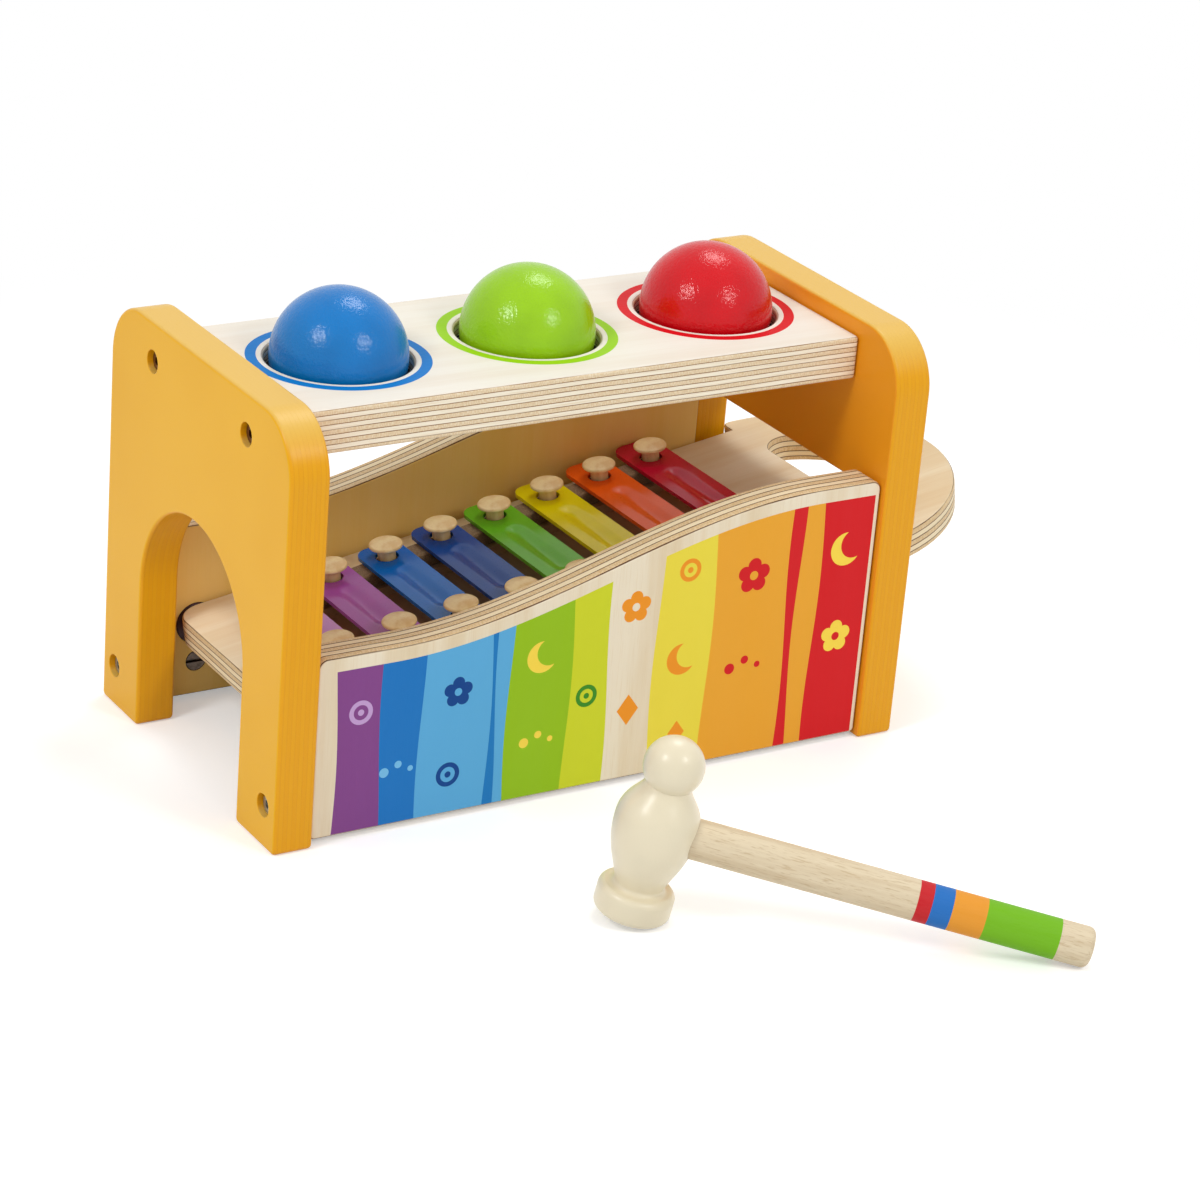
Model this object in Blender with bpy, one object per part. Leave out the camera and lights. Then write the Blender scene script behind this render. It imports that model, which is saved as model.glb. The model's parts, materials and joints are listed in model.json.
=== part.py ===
"""Wooden pounding bench with three balls, a slide-out metal xylophone and a mallet.

Lengths are in metres and +Z is up. The bench is drawn with its left, arched end at X = 0 and its
front at Y = 0. At the end the whole set is moved so that the middle of its footprint is the origin.
"""

import math

import bmesh
import bpy
from mathutils import Matrix, Vector
from mathutils.geometry import interpolate_bezier

for old in list(bpy.data.objects):
    bpy.data.objects.remove(old, do_unlink=True)

# Bench frame
BENCH_LENGTH = 0.238
BENCH_DEPTH = 0.129
END_HEIGHT = 0.1446
END_THICKNESS = 0.0138
END_CORNER_RADIUS = 0.0198
END_ARRIS = 0.0011
ARCH_WIDTH = 0.0746
ARCH_HEIGHT = 0.089
TRAY_DOOR_HEIGHT = 0.089
DOOR_SIDE_GAP = 0.0033
TRAY_DOOR_CORNER = 0.003
DOOR_SILL_DROP = 0.0008

# Front and back panels, with a wave along the top edge
PANEL_THICKNESS = 0.0126
PANEL_INSET = 0.0024
PANEL_FLOOR_GAP = 0.0018
PANEL_LOW = 0.0645
PANEL_HIGH = 0.095
PANEL_ARRIS = 0.0009
PANEL_CORNER = 0.0035
WAVE_START_share = 0.124
WAVE_END_share = 0.895

# Top board with its ball holes
BOARD_WIDTH = 0.0815
BOARD_THICKNESS = 0.0148
BOARD_TOP = 0.1387
BOARD_ARRIS = 0.0009
BOARD_CORNER = 0.0012
HOLE_DIAMETER = 0.0484
HOLE_FLARE = 0.0007
HOLE_PITCH = 0.0697

# Balls and the rubber rings that hold them
BALL_DIAMETER = 0.045
BALL_RISE = 0.0007
RING_DEPTH = 0.0062
RING_THICKNESS = 0.0032
RING_GROOVE = 0.0016
RING_BALL_GAP = 0.0005
RING_LIP = 0.0012

# Tray that carries the xylophone, with a wider, round pull end that stands outside the door
TRAY_THICKNESS = 0.0102
TRAY_SLOPE = math.radians(9.22)
TRAY_LEFT = 0.0178
TRAY_LEFT_HEIGHT = 0.0344
TRAY_ARRIS = 0.0009
TRAY_LEFT_CORNER = 0.009
SHOULDER_WIDTH = 0.0072
SHOULDER_CORNER = 0.0025
PULL_REACH = 0.0507
GRIP_FROM_SHOULDER = 0.0019
GRIP_RIM = 0.0187
GRIP_CORNER = 0.008

# Xylophone bars, the mushroom posts that hold them and the felt that they rest on
BAR_COUNT = 8
FIRST_BAR = 0.0261
BAR_PITCH = 0.0221
BAR_WIDTH = 0.0165
BAR_THICKNESS = 0.0015
BAR_CORNER = 0.0048
BAR_HOLE_DIAMETER = 0.0081
SHORT_BAR_MARGIN = 0.0189
LONG_BAR_MARGIN = 0.0005
SHORT_BAR_OVERHANG_share = 0.125
LONG_BAR_OVERHANG_share = 0.14
CHANNEL_WIDTH = 0.0078
CHANNEL_DEPTH = 0.0009
CHANNEL_SLOPE = 0.0008
CHANNEL_LENGTH_share = 0.68
FELT_THICKNESS = 0.0056
FELT_WIDTH = 0.009
TROUGH_DEPTH = 0.0035
TROUGH_MARGIN = 0.0015
TROUGH_CORNER = 0.004
POST_STEM_DIAMETER = 0.0062
POST_HEAD_DIAMETER = 0.0117
POST_HEAD_THICKNESS = 0.0019
POST_DOME = 0.0006
POST_TOP = 0.0134
POST_SEAT_DEPTH = 0.005

# Pegs inside the front and back panels
PEG_DIAMETER = 0.0064
PEG_SEAT_DEPTH = 0.0055
PEG_ARRIS = 0.0006
STOP_PEG_DIAMETER = 0.0144
STOP_PEG_FROM_END = 0.0081
STOP_PEG_DROP = 0.0073
SUPPORT_PEG_REACH = 0.006
SUPPORT_PEG_LEFT = 0.026
SUPPORT_PEG_RIGHT = 0.183

# Bolts, their barrel nuts and the screws of the top board
BOLT_DIAMETER = 0.004
BOLT_HEAD_DIAMETER = 0.0071
BOLT_HEAD_THICKNESS = 0.0022
BOLT_RECESS_DIAMETER = 0.0078
BOLT_RECESS_DEPTH = 0.0042
BOLT_HEIGHT = 0.0143
NUT_DIAMETER = 0.007
NUT_LENGTH = 0.0105
NUT_FROM_END = 0.0132
BOLT_PAST_NUT = 0.0012
SCREW_SPACING = 0.0674
SCREW_REACH = 0.028
SCREW_TIP = 0.004

# Mallet
HEAD_FOOT_RADIUS = 0.0123
HEAD_FOOT_THICKNESS = 0.0094
HEAD_NECK_RADIUS = 0.008
HEAD_NECK_HEIGHT = 0.0108
HEAD_BODY_RADIUS = 0.0134
HEAD_BODY_HEIGHT = 0.0315
HEAD_NOTCH_RADIUS = 0.0072
HEAD_BALL_RADIUS = 0.0096
HEAD_BALL_HEIGHT = 0.0518
HANDLE_RADIUS = 0.0065
HANDLE_HEIGHT = 0.0298
HANDLE_END = 0.1392
HANDLE_SEAT_DEPTH = 0.018
MALLET_ARRIS = 0.0022
MALLET_X = 0.0845
MALLET_Y = -0.0772
MALLET_TURN = math.radians(-36.1)
BODY_LOWER_PULL_share = (0.25, 0.5)
BODY_UPPER_PULL_share = (0.45, 0.35)

# Clearances and cutting
SEAT_GAP = 0.0003
TRAY_SIDE_GAP = 0.0007
OVERRUN = 0.003

# Facets
ARC_STEP = math.radians(15)
WAVE_POINTS = 15
BALL_SIDES = 20
HOLE_SIDES = 24
POST_SIDES = 10
PIN_SIDES = 10
HEAD_SIDES = 18
HANDLE_SIDES = 12
SHARP_ANGLE = math.radians(35)
BEVEL_ANGLE = math.radians(50)

# Worked out from the sizes above
MIDDLE_X = BENCH_LENGTH / 2
MIDDLE_Y = BENCH_DEPTH / 2
PANEL_FRONT_FACE = PANEL_INSET
PANEL_INNER_FACE = PANEL_INSET + PANEL_THICKNESS
PANEL_MIDDLE = PANEL_INSET + PANEL_THICKNESS / 2
TRAY_WIDTH = BENCH_DEPTH - 2 * (PANEL_INNER_FACE + TRAY_SIDE_GAP)
TRAY_DOOR_WIDTH = TRAY_WIDTH + 2 * DOOR_SIDE_GAP
SHOULDER_ALONG = (BENCH_LENGTH + SEAT_GAP - TRAY_LEFT) / math.cos(TRAY_SLOPE)
PULL_RADIUS = TRAY_WIDTH / 2 + SHOULDER_WIDTH
PULL_CENTRE = SHOULDER_ALONG + PULL_REACH - PULL_RADIUS
PANEL_LEFT = END_THICKNESS + SEAT_GAP
PANEL_LENGTH = BENCH_LENGTH - 2 * PANEL_LEFT
BALL_HEIGHT = BOARD_TOP + BALL_RISE
BALL_RADIUS = BALL_DIAMETER / 2
HOLE_RADIUS = HOLE_DIAMETER / 2
STEM_RADIUS = POST_STEM_DIAMETER / 2
PEG_RADIUS = PEG_DIAMETER / 2
BOLT_RADIUS = BOLT_DIAMETER / 2
NUT_RADIUS = NUT_DIAMETER / 2
FELT_TOP = SEAT_GAP + FELT_THICKNESS
BAR_BOTTOM = FELT_TOP + SEAT_GAP
BALL_COLOURS = {"blue": (0.0, 0.19, 0.56), "green": (0.24, 0.60, 0.01), "red": (0.66, 0.01, 0.02)}
BAR_COLOURS = {
    "lilac": (0.50, 0.22, 0.60),
    "purple": (0.28, 0.09, 0.33),
    "blue": (0.01, 0.16, 0.45),
    "navy": (0.02, 0.06, 0.22),
    "green": (0.12, 0.38, 0.04),
    "yellow": (0.76, 0.58, 0.02),
    "orange": (0.75, 0.14, 0.02),
    "red": (0.50, 0.01, 0.02),
}


def bar_length(index):
    """Length of a bar: it grows evenly from the shortest to the longest, which nearly fills the tray."""
    margin = SHORT_BAR_MARGIN + (LONG_BAR_MARGIN - SHORT_BAR_MARGIN) * index / (BAR_COUNT - 1)
    return TRAY_WIDTH - 2 * margin


def post_spacing(index):
    """Distance between the two posts of a bar."""
    grown = index / (BAR_COUNT - 1)
    overhang = SHORT_BAR_OVERHANG_share + (LONG_BAR_OVERHANG_share - SHORT_BAR_OVERHANG_share) * grown
    return bar_length(index) * (1 - 2 * overhang)


def bar_place(index):
    """Distance of a bar's middle from the tray's left end, along the slope."""
    return FIRST_BAR + BAR_PITCH * index


def tray_point(along, above):
    """Bench X and Z of a point at a distance up the slope and a height above the tray's top face."""
    x = TRAY_LEFT + along * math.cos(TRAY_SLOPE) - above * math.sin(TRAY_SLOPE)
    z = TRAY_LEFT_HEIGHT + along * math.sin(TRAY_SLOPE) + above * math.cos(TRAY_SLOPE)
    return x, z


def make_material(name, colour, roughness=0.5, metallic=0.0):
    material = bpy.data.materials.new(name)
    material.use_nodes = True
    shader = material.node_tree.nodes["Principled BSDF"]
    shader.inputs["Base Color"].default_value = (*colour, 1.0)
    shader.inputs["Roughness"].default_value = roughness
    shader.inputs["Metallic"].default_value = metallic
    return material


ORANGE_PAINT = make_material("orange_paint", (0.84, 0.42, 0.05), 0.4)
PALE_PLY = make_material("pale_ply", (0.80, 0.66, 0.46), 0.5)
TURNED_WOOD = make_material("turned_wood", (0.76, 0.58, 0.36), 0.5)
HANDLE_WOOD = make_material("handle_wood", (0.70, 0.53, 0.33), 0.5)
CREAM_LACQUER = make_material("cream_lacquer", (0.85, 0.76, 0.56), 0.25)
DARK_PEG = make_material("dark_peg", (0.09, 0.05, 0.06), 0.5)
DARK_FELT = make_material("dark_felt", (0.07, 0.04, 0.03), 0.95)
BLACK_RUBBER = make_material("black_rubber", (0.02, 0.02, 0.02), 0.6)
ZINC_STEEL = make_material("zinc_steel", (0.62, 0.62, 0.60), 0.35, 1.0)


def make_empty(name, parent=None, location=(0, 0, 0), rotation=(0, 0, 0)):
    empty = bpy.data.objects.new(name, None)
    bpy.context.scene.collection.objects.link(empty)
    empty.location = location
    empty.rotation_euler = rotation
    empty.parent = parent
    return empty


def make_object(name, bm, material=None, parent=None, location=(0, 0, 0), rotation=(0, 0, 0)):
    """Turns a bmesh into an object. Without a material it is a cutter, which is never rendered."""
    bmesh.ops.recalc_face_normals(bm, faces=bm.faces)
    mesh = bpy.data.meshes.new(name)
    bm.to_mesh(mesh)
    bm.free()
    obj = bpy.data.objects.new(name, mesh)
    bpy.context.scene.collection.objects.link(obj)
    obj.location = location
    obj.rotation_euler = rotation
    obj.parent = parent
    if material is None:
        obj.hide_render = True
        obj.display_type = "WIRE"
    else:
        mesh.materials.append(material)
        mesh.shade_smooth()
        mesh.set_sharp_from_angle(angle=SHARP_ANGLE)
    return obj


def arc(centre_x, centre_y, radius, first, last, steps):
    """Points round a centre, from one angle to another in degrees, measured from the +X axis."""
    points = []
    for i in range(steps + 1):
        angle = math.radians(first + (last - first) * i / steps)
        points.append(Vector((centre_x + radius * math.cos(angle), centre_y + radius * math.sin(angle))))
    return points


def distinct(points):
    """The same closed outline without the points that repeat the one before."""
    return [p for i, p in enumerate(points) if (p - points[i - 1]).length > SEAT_GAP / 10]


def rounded_outline(corners, arc_step=ARC_STEP):
    """Outline through corners (x, y, radius), each with its arc. A radius of zero keeps the corner sharp."""
    points = []
    for index, (x, y, radius) in enumerate(corners):
        corner = Vector((x, y))
        if radius == 0:
            points.append(corner)
            continue
        before = (Vector(corners[index - 1][:2]) - corner).normalized()
        after = (Vector(corners[(index + 1) % len(corners)][:2]) - corner).normalized()
        half = before.angle(after) / 2
        centre = corner + (before + after).normalized() * (radius / math.sin(half))
        start = corner + before * (radius / math.tan(half)) - centre
        turn = start.angle_signed(corner + after * (radius / math.tan(half)) - centre)
        steps = max(2, round(abs(turn) / arc_step))
        points += [centre + Matrix.Rotation(-turn * i / steps, 2) @ start for i in range(steps + 1)]
    return distinct(points)


def half_moon(left, centre, radius, corner):
    """Outline with a straight side at X = left, a round right side about (centre, 0) and rounded tips."""
    tip_x = left + corner
    tip_y = math.sqrt((radius - corner) ** 2 - (tip_x - centre) ** 2)
    lean = math.degrees(math.atan2(tip_y, tip_x - centre))
    points = arc(centre, 0, radius, -lean, lean, round(math.radians(2 * lean) / ARC_STEP))
    tip_steps = round(math.radians(180 - lean) / ARC_STEP / 2)
    points += arc(tip_x, tip_y, corner, lean, 180, tip_steps)
    points += arc(tip_x, -tip_y, corner, 180, 360 - lean, tip_steps)
    return distinct(points)


def rounded_rectangle(x0, y0, x1, y1, radius, arc_step=ARC_STEP):
    return rounded_outline([(x0, y0, radius), (x1, y0, radius), (x1, y1, radius), (x0, y1, radius)], arc_step)


def prism(outline, bottom, top, draw_in=0.0, bm=None):
    """Closed prism over an outline in X and Y. draw_in moves the bottom outline inwards, for sloping walls."""
    bm = bm or bmesh.new()
    middle = sum(outline, Vector((0, 0))) / len(outline)
    high = [bm.verts.new((p.x, p.y, top)) for p in outline]
    low = []
    for p in outline:
        inward = (middle - p).normalized() * draw_in
        low.append(bm.verts.new((p.x + inward.x, p.y + inward.y, bottom)))
    bm.faces.new(high)
    bm.faces.new(reversed(low))
    count = len(outline)
    for i in range(count):
        bm.faces.new((high[i - 1], low[i - 1], low[i], high[i]))
    return bm


def turned(profile, sides, bm=None, closed=False):
    """Revolves a profile of (radius, height) points about Z. A closed profile makes a ring."""
    bm = bm or bmesh.new()
    verts = [bm.verts.new((radius, 0, height)) for radius, height in profile]
    pairs = list(zip(verts, verts[1:]))
    if closed:
        pairs.append((verts[-1], verts[0]))
    edges = [bm.edges.new(pair) for pair in pairs]
    bmesh.ops.spin(
        bm, geom=verts + edges, cent=(0, 0, 0), axis=(0, 0, 1), angle=math.tau, steps=sides, use_merge=True
    )
    bmesh.ops.remove_doubles(bm, verts=bm.verts, dist=SEAT_GAP / 100)
    return bm


def pin_cutter(name, radius, length, parent, location, rotation=(0, 0, 0), sides=PIN_SIDES):
    """Cutter for a drilled hole: it starts at its own origin and runs along its own +Z."""
    bm = turned([(0, length), (radius, length), (radius, 0), (0, 0)], sides)
    return make_object(name, bm, None, parent, location, rotation)


def cut(obj, cutter, operation="DIFFERENCE"):
    step = obj.modifiers.new(cutter.name, "BOOLEAN")
    step.operation = operation
    step.solver = "EXACT"
    step.object = cutter


def round_arrises(obj, width, segments=1):
    """Rounds the sharp edges, and leaves the shallow ones between the facets of an arc."""
    bevel = obj.modifiers.new("rounded arrises", "BEVEL")
    bevel.width = width
    bevel.segments = segments
    bevel.limit_method = "ANGLE"
    bevel.angle_limit = BEVEL_ANGLE
    bevel.use_clamp_overlap = False


ALONG_X = (0, math.radians(90), 0)
AGAINST_X = (0, math.radians(-90), 0)
ALONG_Y = (math.radians(-90), 0, 0)
AGAINST_Y = (math.radians(90), 0, 0)
OUTLINE_IN_YZ = (math.radians(90), 0, math.radians(90))
OUTLINE_IN_XZ = (math.radians(90), 0, 0)

whole_set = make_empty("whole_set")
bench = make_empty("bench", whole_set)


def bolt_places():
    """Y of the two lower bolts of an end panel, in the middle of the front and back panels."""
    return {"front": PANEL_MIDDLE, "rear": BENCH_DEPTH - PANEL_MIDDLE}


def screw_places():
    """Y of the two upper screws of an end panel, into the end of the top board."""
    return {"front": MIDDLE_Y - SCREW_SPACING / 2, "rear": MIDDLE_Y + SCREW_SPACING / 2}


SCREW_HEIGHT = BOARD_TOP - BOARD_THICKNESS / 2


def fixing_holes(side):
    """One cutter with the stepped holes of an end panel: a wide recess for the head, then the shank hole."""
    recess = BOLT_RECESS_DIAMETER / 2
    shank = BOLT_RADIUS + SEAT_GAP
    through = END_THICKNESS + OVERRUN
    profile = [
        (0, through),
        (shank, through),
        (shank, BOLT_RECESS_DEPTH),
        (recess, BOLT_RECESS_DEPTH),
        (recess, -OVERRUN),
        (0, -OVERRUN),
    ]
    places = [(y, BOLT_HEIGHT) for y in bolt_places().values()]
    places += [(y, SCREW_HEIGHT) for y in screw_places().values()]
    bm = bmesh.new()
    for y, z in places:
        one = turned(profile, PIN_SIDES)
        turn = Matrix.Rotation(math.radians(90 if side == "left" else -90), 4, "Y")
        face = 0 if side == "left" else BENCH_LENGTH
        bmesh.ops.transform(one, matrix=Matrix.Translation((face, y, z)) @ turn, verts=one.verts)
        scratch = bpy.data.meshes.new("one hole")
        one.to_mesh(scratch)
        one.free()
        bm.from_mesh(scratch)
        bpy.data.meshes.remove(scratch)
    return make_object(f"{side}_fixing_holes", bm, None, bench)


def left_end_panel():
    """Arched end: an upright with two legs and a round-headed arch, where the balls roll out."""
    leg = (BENCH_DEPTH - ARCH_WIDTH) / 2
    arch = ARCH_WIDTH / 2
    outline = rounded_outline([
        (0, 0, 0),
        (leg, 0, 0),
        (leg, ARCH_HEIGHT, arch),
        (BENCH_DEPTH - leg, ARCH_HEIGHT, arch),
        (BENCH_DEPTH - leg, 0, 0),
        (BENCH_DEPTH, 0, 0),
        (BENCH_DEPTH, END_HEIGHT, END_CORNER_RADIUS),
        (0, END_HEIGHT, END_CORNER_RADIUS),
    ])
    panel = make_object(
        "left_end_panel", prism(outline, 0, END_THICKNESS), ORANGE_PAINT, bench, (0, 0, 0), OUTLINE_IN_YZ
    )
    round_arrises(panel, END_ARRIS, 2)
    cut(panel, fixing_holes("left"))


def right_end_panel():
    """Door end: the same upright with a wide door, whose sill is just under the tray."""
    outline = rounded_outline([
        (0, 0, 0),
        (BENCH_DEPTH, 0, 0),
        (BENCH_DEPTH, END_HEIGHT, END_CORNER_RADIUS),
        (0, END_HEIGHT, END_CORNER_RADIUS),
    ])
    inner_x = BENCH_LENGTH - END_THICKNESS
    panel = make_object(
        "right_end_panel", prism(outline, 0, END_THICKNESS), ORANGE_PAINT, bench, (inner_x, 0, 0), OUTLINE_IN_YZ
    )
    under_tray = TRAY_LEFT_HEIGHT + (inner_x - TRAY_LEFT) * math.tan(TRAY_SLOPE)
    sill = under_tray - TRAY_THICKNESS / math.cos(TRAY_SLOPE) - DOOR_SILL_DROP
    door_half = TRAY_DOOR_WIDTH / 2
    door = rounded_rectangle(
        MIDDLE_Y - door_half, sill, MIDDLE_Y + door_half, TRAY_DOOR_HEIGHT, TRAY_DOOR_CORNER
    )
    cutter = make_object(
        "tray_door", prism(door, -OVERRUN, END_THICKNESS + OVERRUN), None, bench, (inner_x, 0, 0), OUTLINE_IN_YZ
    )
    cut(panel, cutter)
    round_arrises(panel, END_ARRIS, 2)
    cut(panel, fixing_holes("right"))


def wave_outline():
    """Outline of a long panel in X and Z: straight bottom and ends, and a cosine wave from low to high."""
    start = PANEL_LENGTH * WAVE_START_share
    end = PANEL_LENGTH * WAVE_END_share
    corners = [
        (0, PANEL_FLOOR_GAP, 0),
        (PANEL_LENGTH, PANEL_FLOOR_GAP, 0),
        (PANEL_LENGTH, PANEL_HIGH, PANEL_CORNER),
    ]
    for i in range(WAVE_POINTS + 1):
        share = 1 - i / WAVE_POINTS
        rise = (1 - math.cos(math.pi * share)) / 2
        corners.append((start + (end - start) * share, PANEL_LOW + (PANEL_HIGH - PANEL_LOW) * rise, 0))
    corners.append((0, PANEL_LOW, PANEL_CORNER))
    return rounded_outline(corners)


def long_panel(name, rear_face, inward):
    """Front or back panel. inward is +1 where the panel's inner face looks along +Y, and -1 where along -Y."""
    panel = make_object(
        name,
        prism(wave_outline(), 0, PANEL_THICKNESS),
        PALE_PLY,
        bench,
        (PANEL_LEFT, rear_face, 0),
        OUTLINE_IN_XZ,
    )
    round_arrises(panel, PANEL_ARRIS)
    middle = rear_face - PANEL_THICKNESS / 2
    inner = middle + inward * PANEL_THICKNESS / 2
    outward = AGAINST_Y if inward > 0 else ALONG_Y
    bolt_hole = NUT_FROM_END + BOLT_PAST_NUT + NUT_RADIUS + SEAT_GAP
    for side, x, turn in (
        ("left", PANEL_LEFT - OVERRUN, ALONG_X),
        ("right", PANEL_LEFT + PANEL_LENGTH + OVERRUN, AGAINST_X),
    ):
        drill = pin_cutter(
            f"{name}_{side}_bolt_hole",
            BOLT_RADIUS + SEAT_GAP,
            bolt_hole + OVERRUN,
            bench,
            (x, middle, BOLT_HEIGHT),
            turn,
        )
        cut(panel, drill)
    for side, x in nut_places().items():
        drill = pin_cutter(
            f"{name}_{side}_nut_hole",
            NUT_RADIUS + SEAT_GAP,
            NUT_LENGTH + SEAT_GAP + OVERRUN,
            bench,
            (x, inner + inward * OVERRUN, BOLT_HEIGHT),
            outward,
        )
        cut(panel, drill)
    for peg, (x, z, radius, _reach) in peg_places().items():
        drill = pin_cutter(
            f"{name}_{peg}_hole",
            radius + SEAT_GAP,
            PEG_SEAT_DEPTH + SEAT_GAP + OVERRUN,
            bench,
            (x, inner + inward * OVERRUN, z),
            outward,
        )
        cut(panel, drill)


def nut_places():
    """X of the barrel nuts of a long panel."""
    return {"left": PANEL_LEFT + NUT_FROM_END, "right": PANEL_LEFT + PANEL_LENGTH - NUT_FROM_END}


def peg_places():
    """X, Z, radius and reach of the pegs in a long panel. The broad stop peg's flat end nearly meets the
    tray's side by its left corner and holds it by friction, and the two support pegs carry the tray."""
    stop_x, stop_z = tray_point(STOP_PEG_FROM_END, -STOP_PEG_DROP)
    stop_radius = STOP_PEG_DIAMETER / 2
    stop_reach = TRAY_SIDE_GAP - SEAT_GAP
    below = -TRAY_THICKNESS - SEAT_GAP - PEG_RADIUS
    left_x, left_z = tray_point(SUPPORT_PEG_LEFT, below)
    right_x, right_z = tray_point(SUPPORT_PEG_RIGHT, below)
    return {
        "stop_peg": (stop_x, stop_z, stop_radius, stop_reach),
        "left_support_peg": (left_x, left_z, PEG_RADIUS, SUPPORT_PEG_REACH),
        "right_support_peg": (right_x, right_z, PEG_RADIUS, SUPPORT_PEG_REACH),
    }


def pegs(panel_name, inner, inward):
    """Pegs of one long panel, pressed into their blind holes and reaching in under or beside the tray."""
    for peg, (x, z, radius, reach) in peg_places().items():
        length = PEG_SEAT_DEPTH + reach
        arris = min(PEG_ARRIS, reach)
        profile = [
            (0, length),
            (radius - arris, length),
            (radius, length - arris),
            (radius, 0),
            (0, 0),
        ]
        bm = turned(profile, PIN_SIDES)
        turn = ALONG_Y if inward > 0 else AGAINST_Y
        make_object(
            f"{panel_name}_{peg}", bm, DARK_PEG, bench, (x, inner - inward * PEG_SEAT_DEPTH, z), turn
        )


def top_board():
    """Plywood board between the ends, with three flared ball holes and a groove in each for its rubber ring."""
    half = BOARD_WIDTH / 2
    outline = rounded_rectangle(
        PANEL_LEFT, MIDDLE_Y - half, BENCH_LENGTH - PANEL_LEFT, MIDDLE_Y + half, BOARD_CORNER
    )
    board = make_object(
        "top_board", prism(outline, BOARD_TOP - BOARD_THICKNESS, BOARD_TOP), PALE_PLY, bench
    )
    round_arrises(board, BOARD_ARRIS, 2)
    groove_top = -RING_DEPTH + SEAT_GAP
    groove_bottom = -RING_DEPTH - RING_THICKNESS - SEAT_GAP
    groove = HOLE_RADIUS + RING_GROOVE + SEAT_GAP
    flare = HOLE_FLARE + OVERRUN
    profile = [
        (0, OVERRUN),
        (HOLE_RADIUS + flare, OVERRUN),
        (HOLE_RADIUS, -HOLE_FLARE),
        (HOLE_RADIUS, groove_top),
        (groove, groove_top),
        (groove, groove_bottom),
        (HOLE_RADIUS, groove_bottom),
        (HOLE_RADIUS, -BOARD_THICKNESS - OVERRUN),
        (0, -BOARD_THICKNESS - OVERRUN),
    ]
    for colour, x in ball_places().items():
        cutter = make_object(
            f"{colour}_ball_hole", turned(profile, HOLE_SIDES), None, bench, (x, MIDDLE_Y, BOARD_TOP)
        )
        cut(board, cutter)
    drill_length = SCREW_REACH + SEAT_GAP + OVERRUN
    for place, y in screw_places().items():
        for side, x, turn in (
            ("left", PANEL_LEFT - OVERRUN, ALONG_X),
            ("right", BENCH_LENGTH - PANEL_LEFT + OVERRUN, AGAINST_X),
        ):
            drill = pin_cutter(
                f"{side}_{place}_screw_hole",
                BOLT_RADIUS + SEAT_GAP,
                drill_length,
                bench,
                (x, y, SCREW_HEIGHT),
                turn,
            )
            cut(board, drill)


def ball_places():
    """X of the three balls, spread evenly about the middle of the bench."""
    return {colour: MIDDLE_X + HOLE_PITCH * (i - 1) for i, colour in enumerate(BALL_COLOURS)}


def balls():
    for colour, x in ball_places().items():
        bm = bmesh.new()
        bmesh.ops.create_uvsphere(bm, u_segments=BALL_SIDES, v_segments=BALL_SIDES // 2, radius=BALL_RADIUS)
        paint = make_material(f"{colour}_ball_paint", BALL_COLOURS[colour], 0.22)
        make_object(f"{colour}_ball", bm, paint, bench, (x, MIDDLE_Y, BALL_HEIGHT))


def ball_surface(below_middle, gap):
    """Radius at a depth below the ball's middle that stays a gap away from the ball."""
    return math.sqrt((BALL_RADIUS + gap) ** 2 - below_middle**2)


def ball_rings():
    """Rubber rings: a flange in the board's groove and a lip that cups the ball just below its middle."""
    top = -RING_DEPTH
    bottom = -RING_DEPTH - RING_THICKNESS
    lip_bottom = bottom - RING_LIP
    flange = HOLE_RADIUS + RING_GROOVE
    wall = HOLE_RADIUS - SEAT_GAP
    cup_top = ball_surface(BALL_RISE - top, RING_BALL_GAP)
    cup_bottom = ball_surface(BALL_RISE - lip_bottom, RING_BALL_GAP)
    profile = [
        (flange, top),
        (flange, bottom),
        (wall, bottom),
        (cup_bottom + RING_LIP, lip_bottom),
        (cup_bottom, lip_bottom),
        (cup_top, top),
    ]
    for colour, x in ball_places().items():
        bm = turned(profile, HOLE_SIDES, closed=True)
        make_object(f"{colour}_ball_ring", bm, BLACK_RUBBER, bench, (x, MIDDLE_Y, BOARD_TOP))


def fixing_profile(length, tip):
    """Profile of a bolt or screw from the underside of its shank's end up to its head."""
    head = BOLT_HEAD_DIAMETER / 2
    arris = BOLT_HEAD_THICKNESS / 3
    return [
        (0, BOLT_HEAD_THICKNESS),
        (head - arris, BOLT_HEAD_THICKNESS),
        (head, BOLT_HEAD_THICKNESS - arris),
        (head, 0),
        (BOLT_RADIUS, 0),
        (BOLT_RADIUS, tip - length),
        (0, -length),
    ]


def fixings():
    """Lower bolts run into barrel nuts in the long panels, and upper screws into the top board's ends."""
    head_seat = BOLT_RECESS_DEPTH - SEAT_GAP
    bolt_length = PANEL_LEFT + NUT_FROM_END + NUT_RADIUS + BOLT_PAST_NUT - head_seat
    screw_length = PANEL_LEFT + SCREW_REACH - head_seat
    for side, x, turn in (
        ("left", head_seat, AGAINST_X),
        ("right", BENCH_LENGTH - head_seat, ALONG_X),
    ):
        for place, y in bolt_places().items():
            bm = turned(fixing_profile(bolt_length, 0), PIN_SIDES)
            make_object(f"{side}_{place}_bolt", bm, ZINC_STEEL, bench, (x, y, BOLT_HEIGHT), turn)
        for place, y in screw_places().items():
            bm = turned(fixing_profile(screw_length, SCREW_TIP), PIN_SIDES)
            make_object(f"{side}_{place}_screw", bm, ZINC_STEEL, bench, (x, y, SCREW_HEIGHT), turn)


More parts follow.
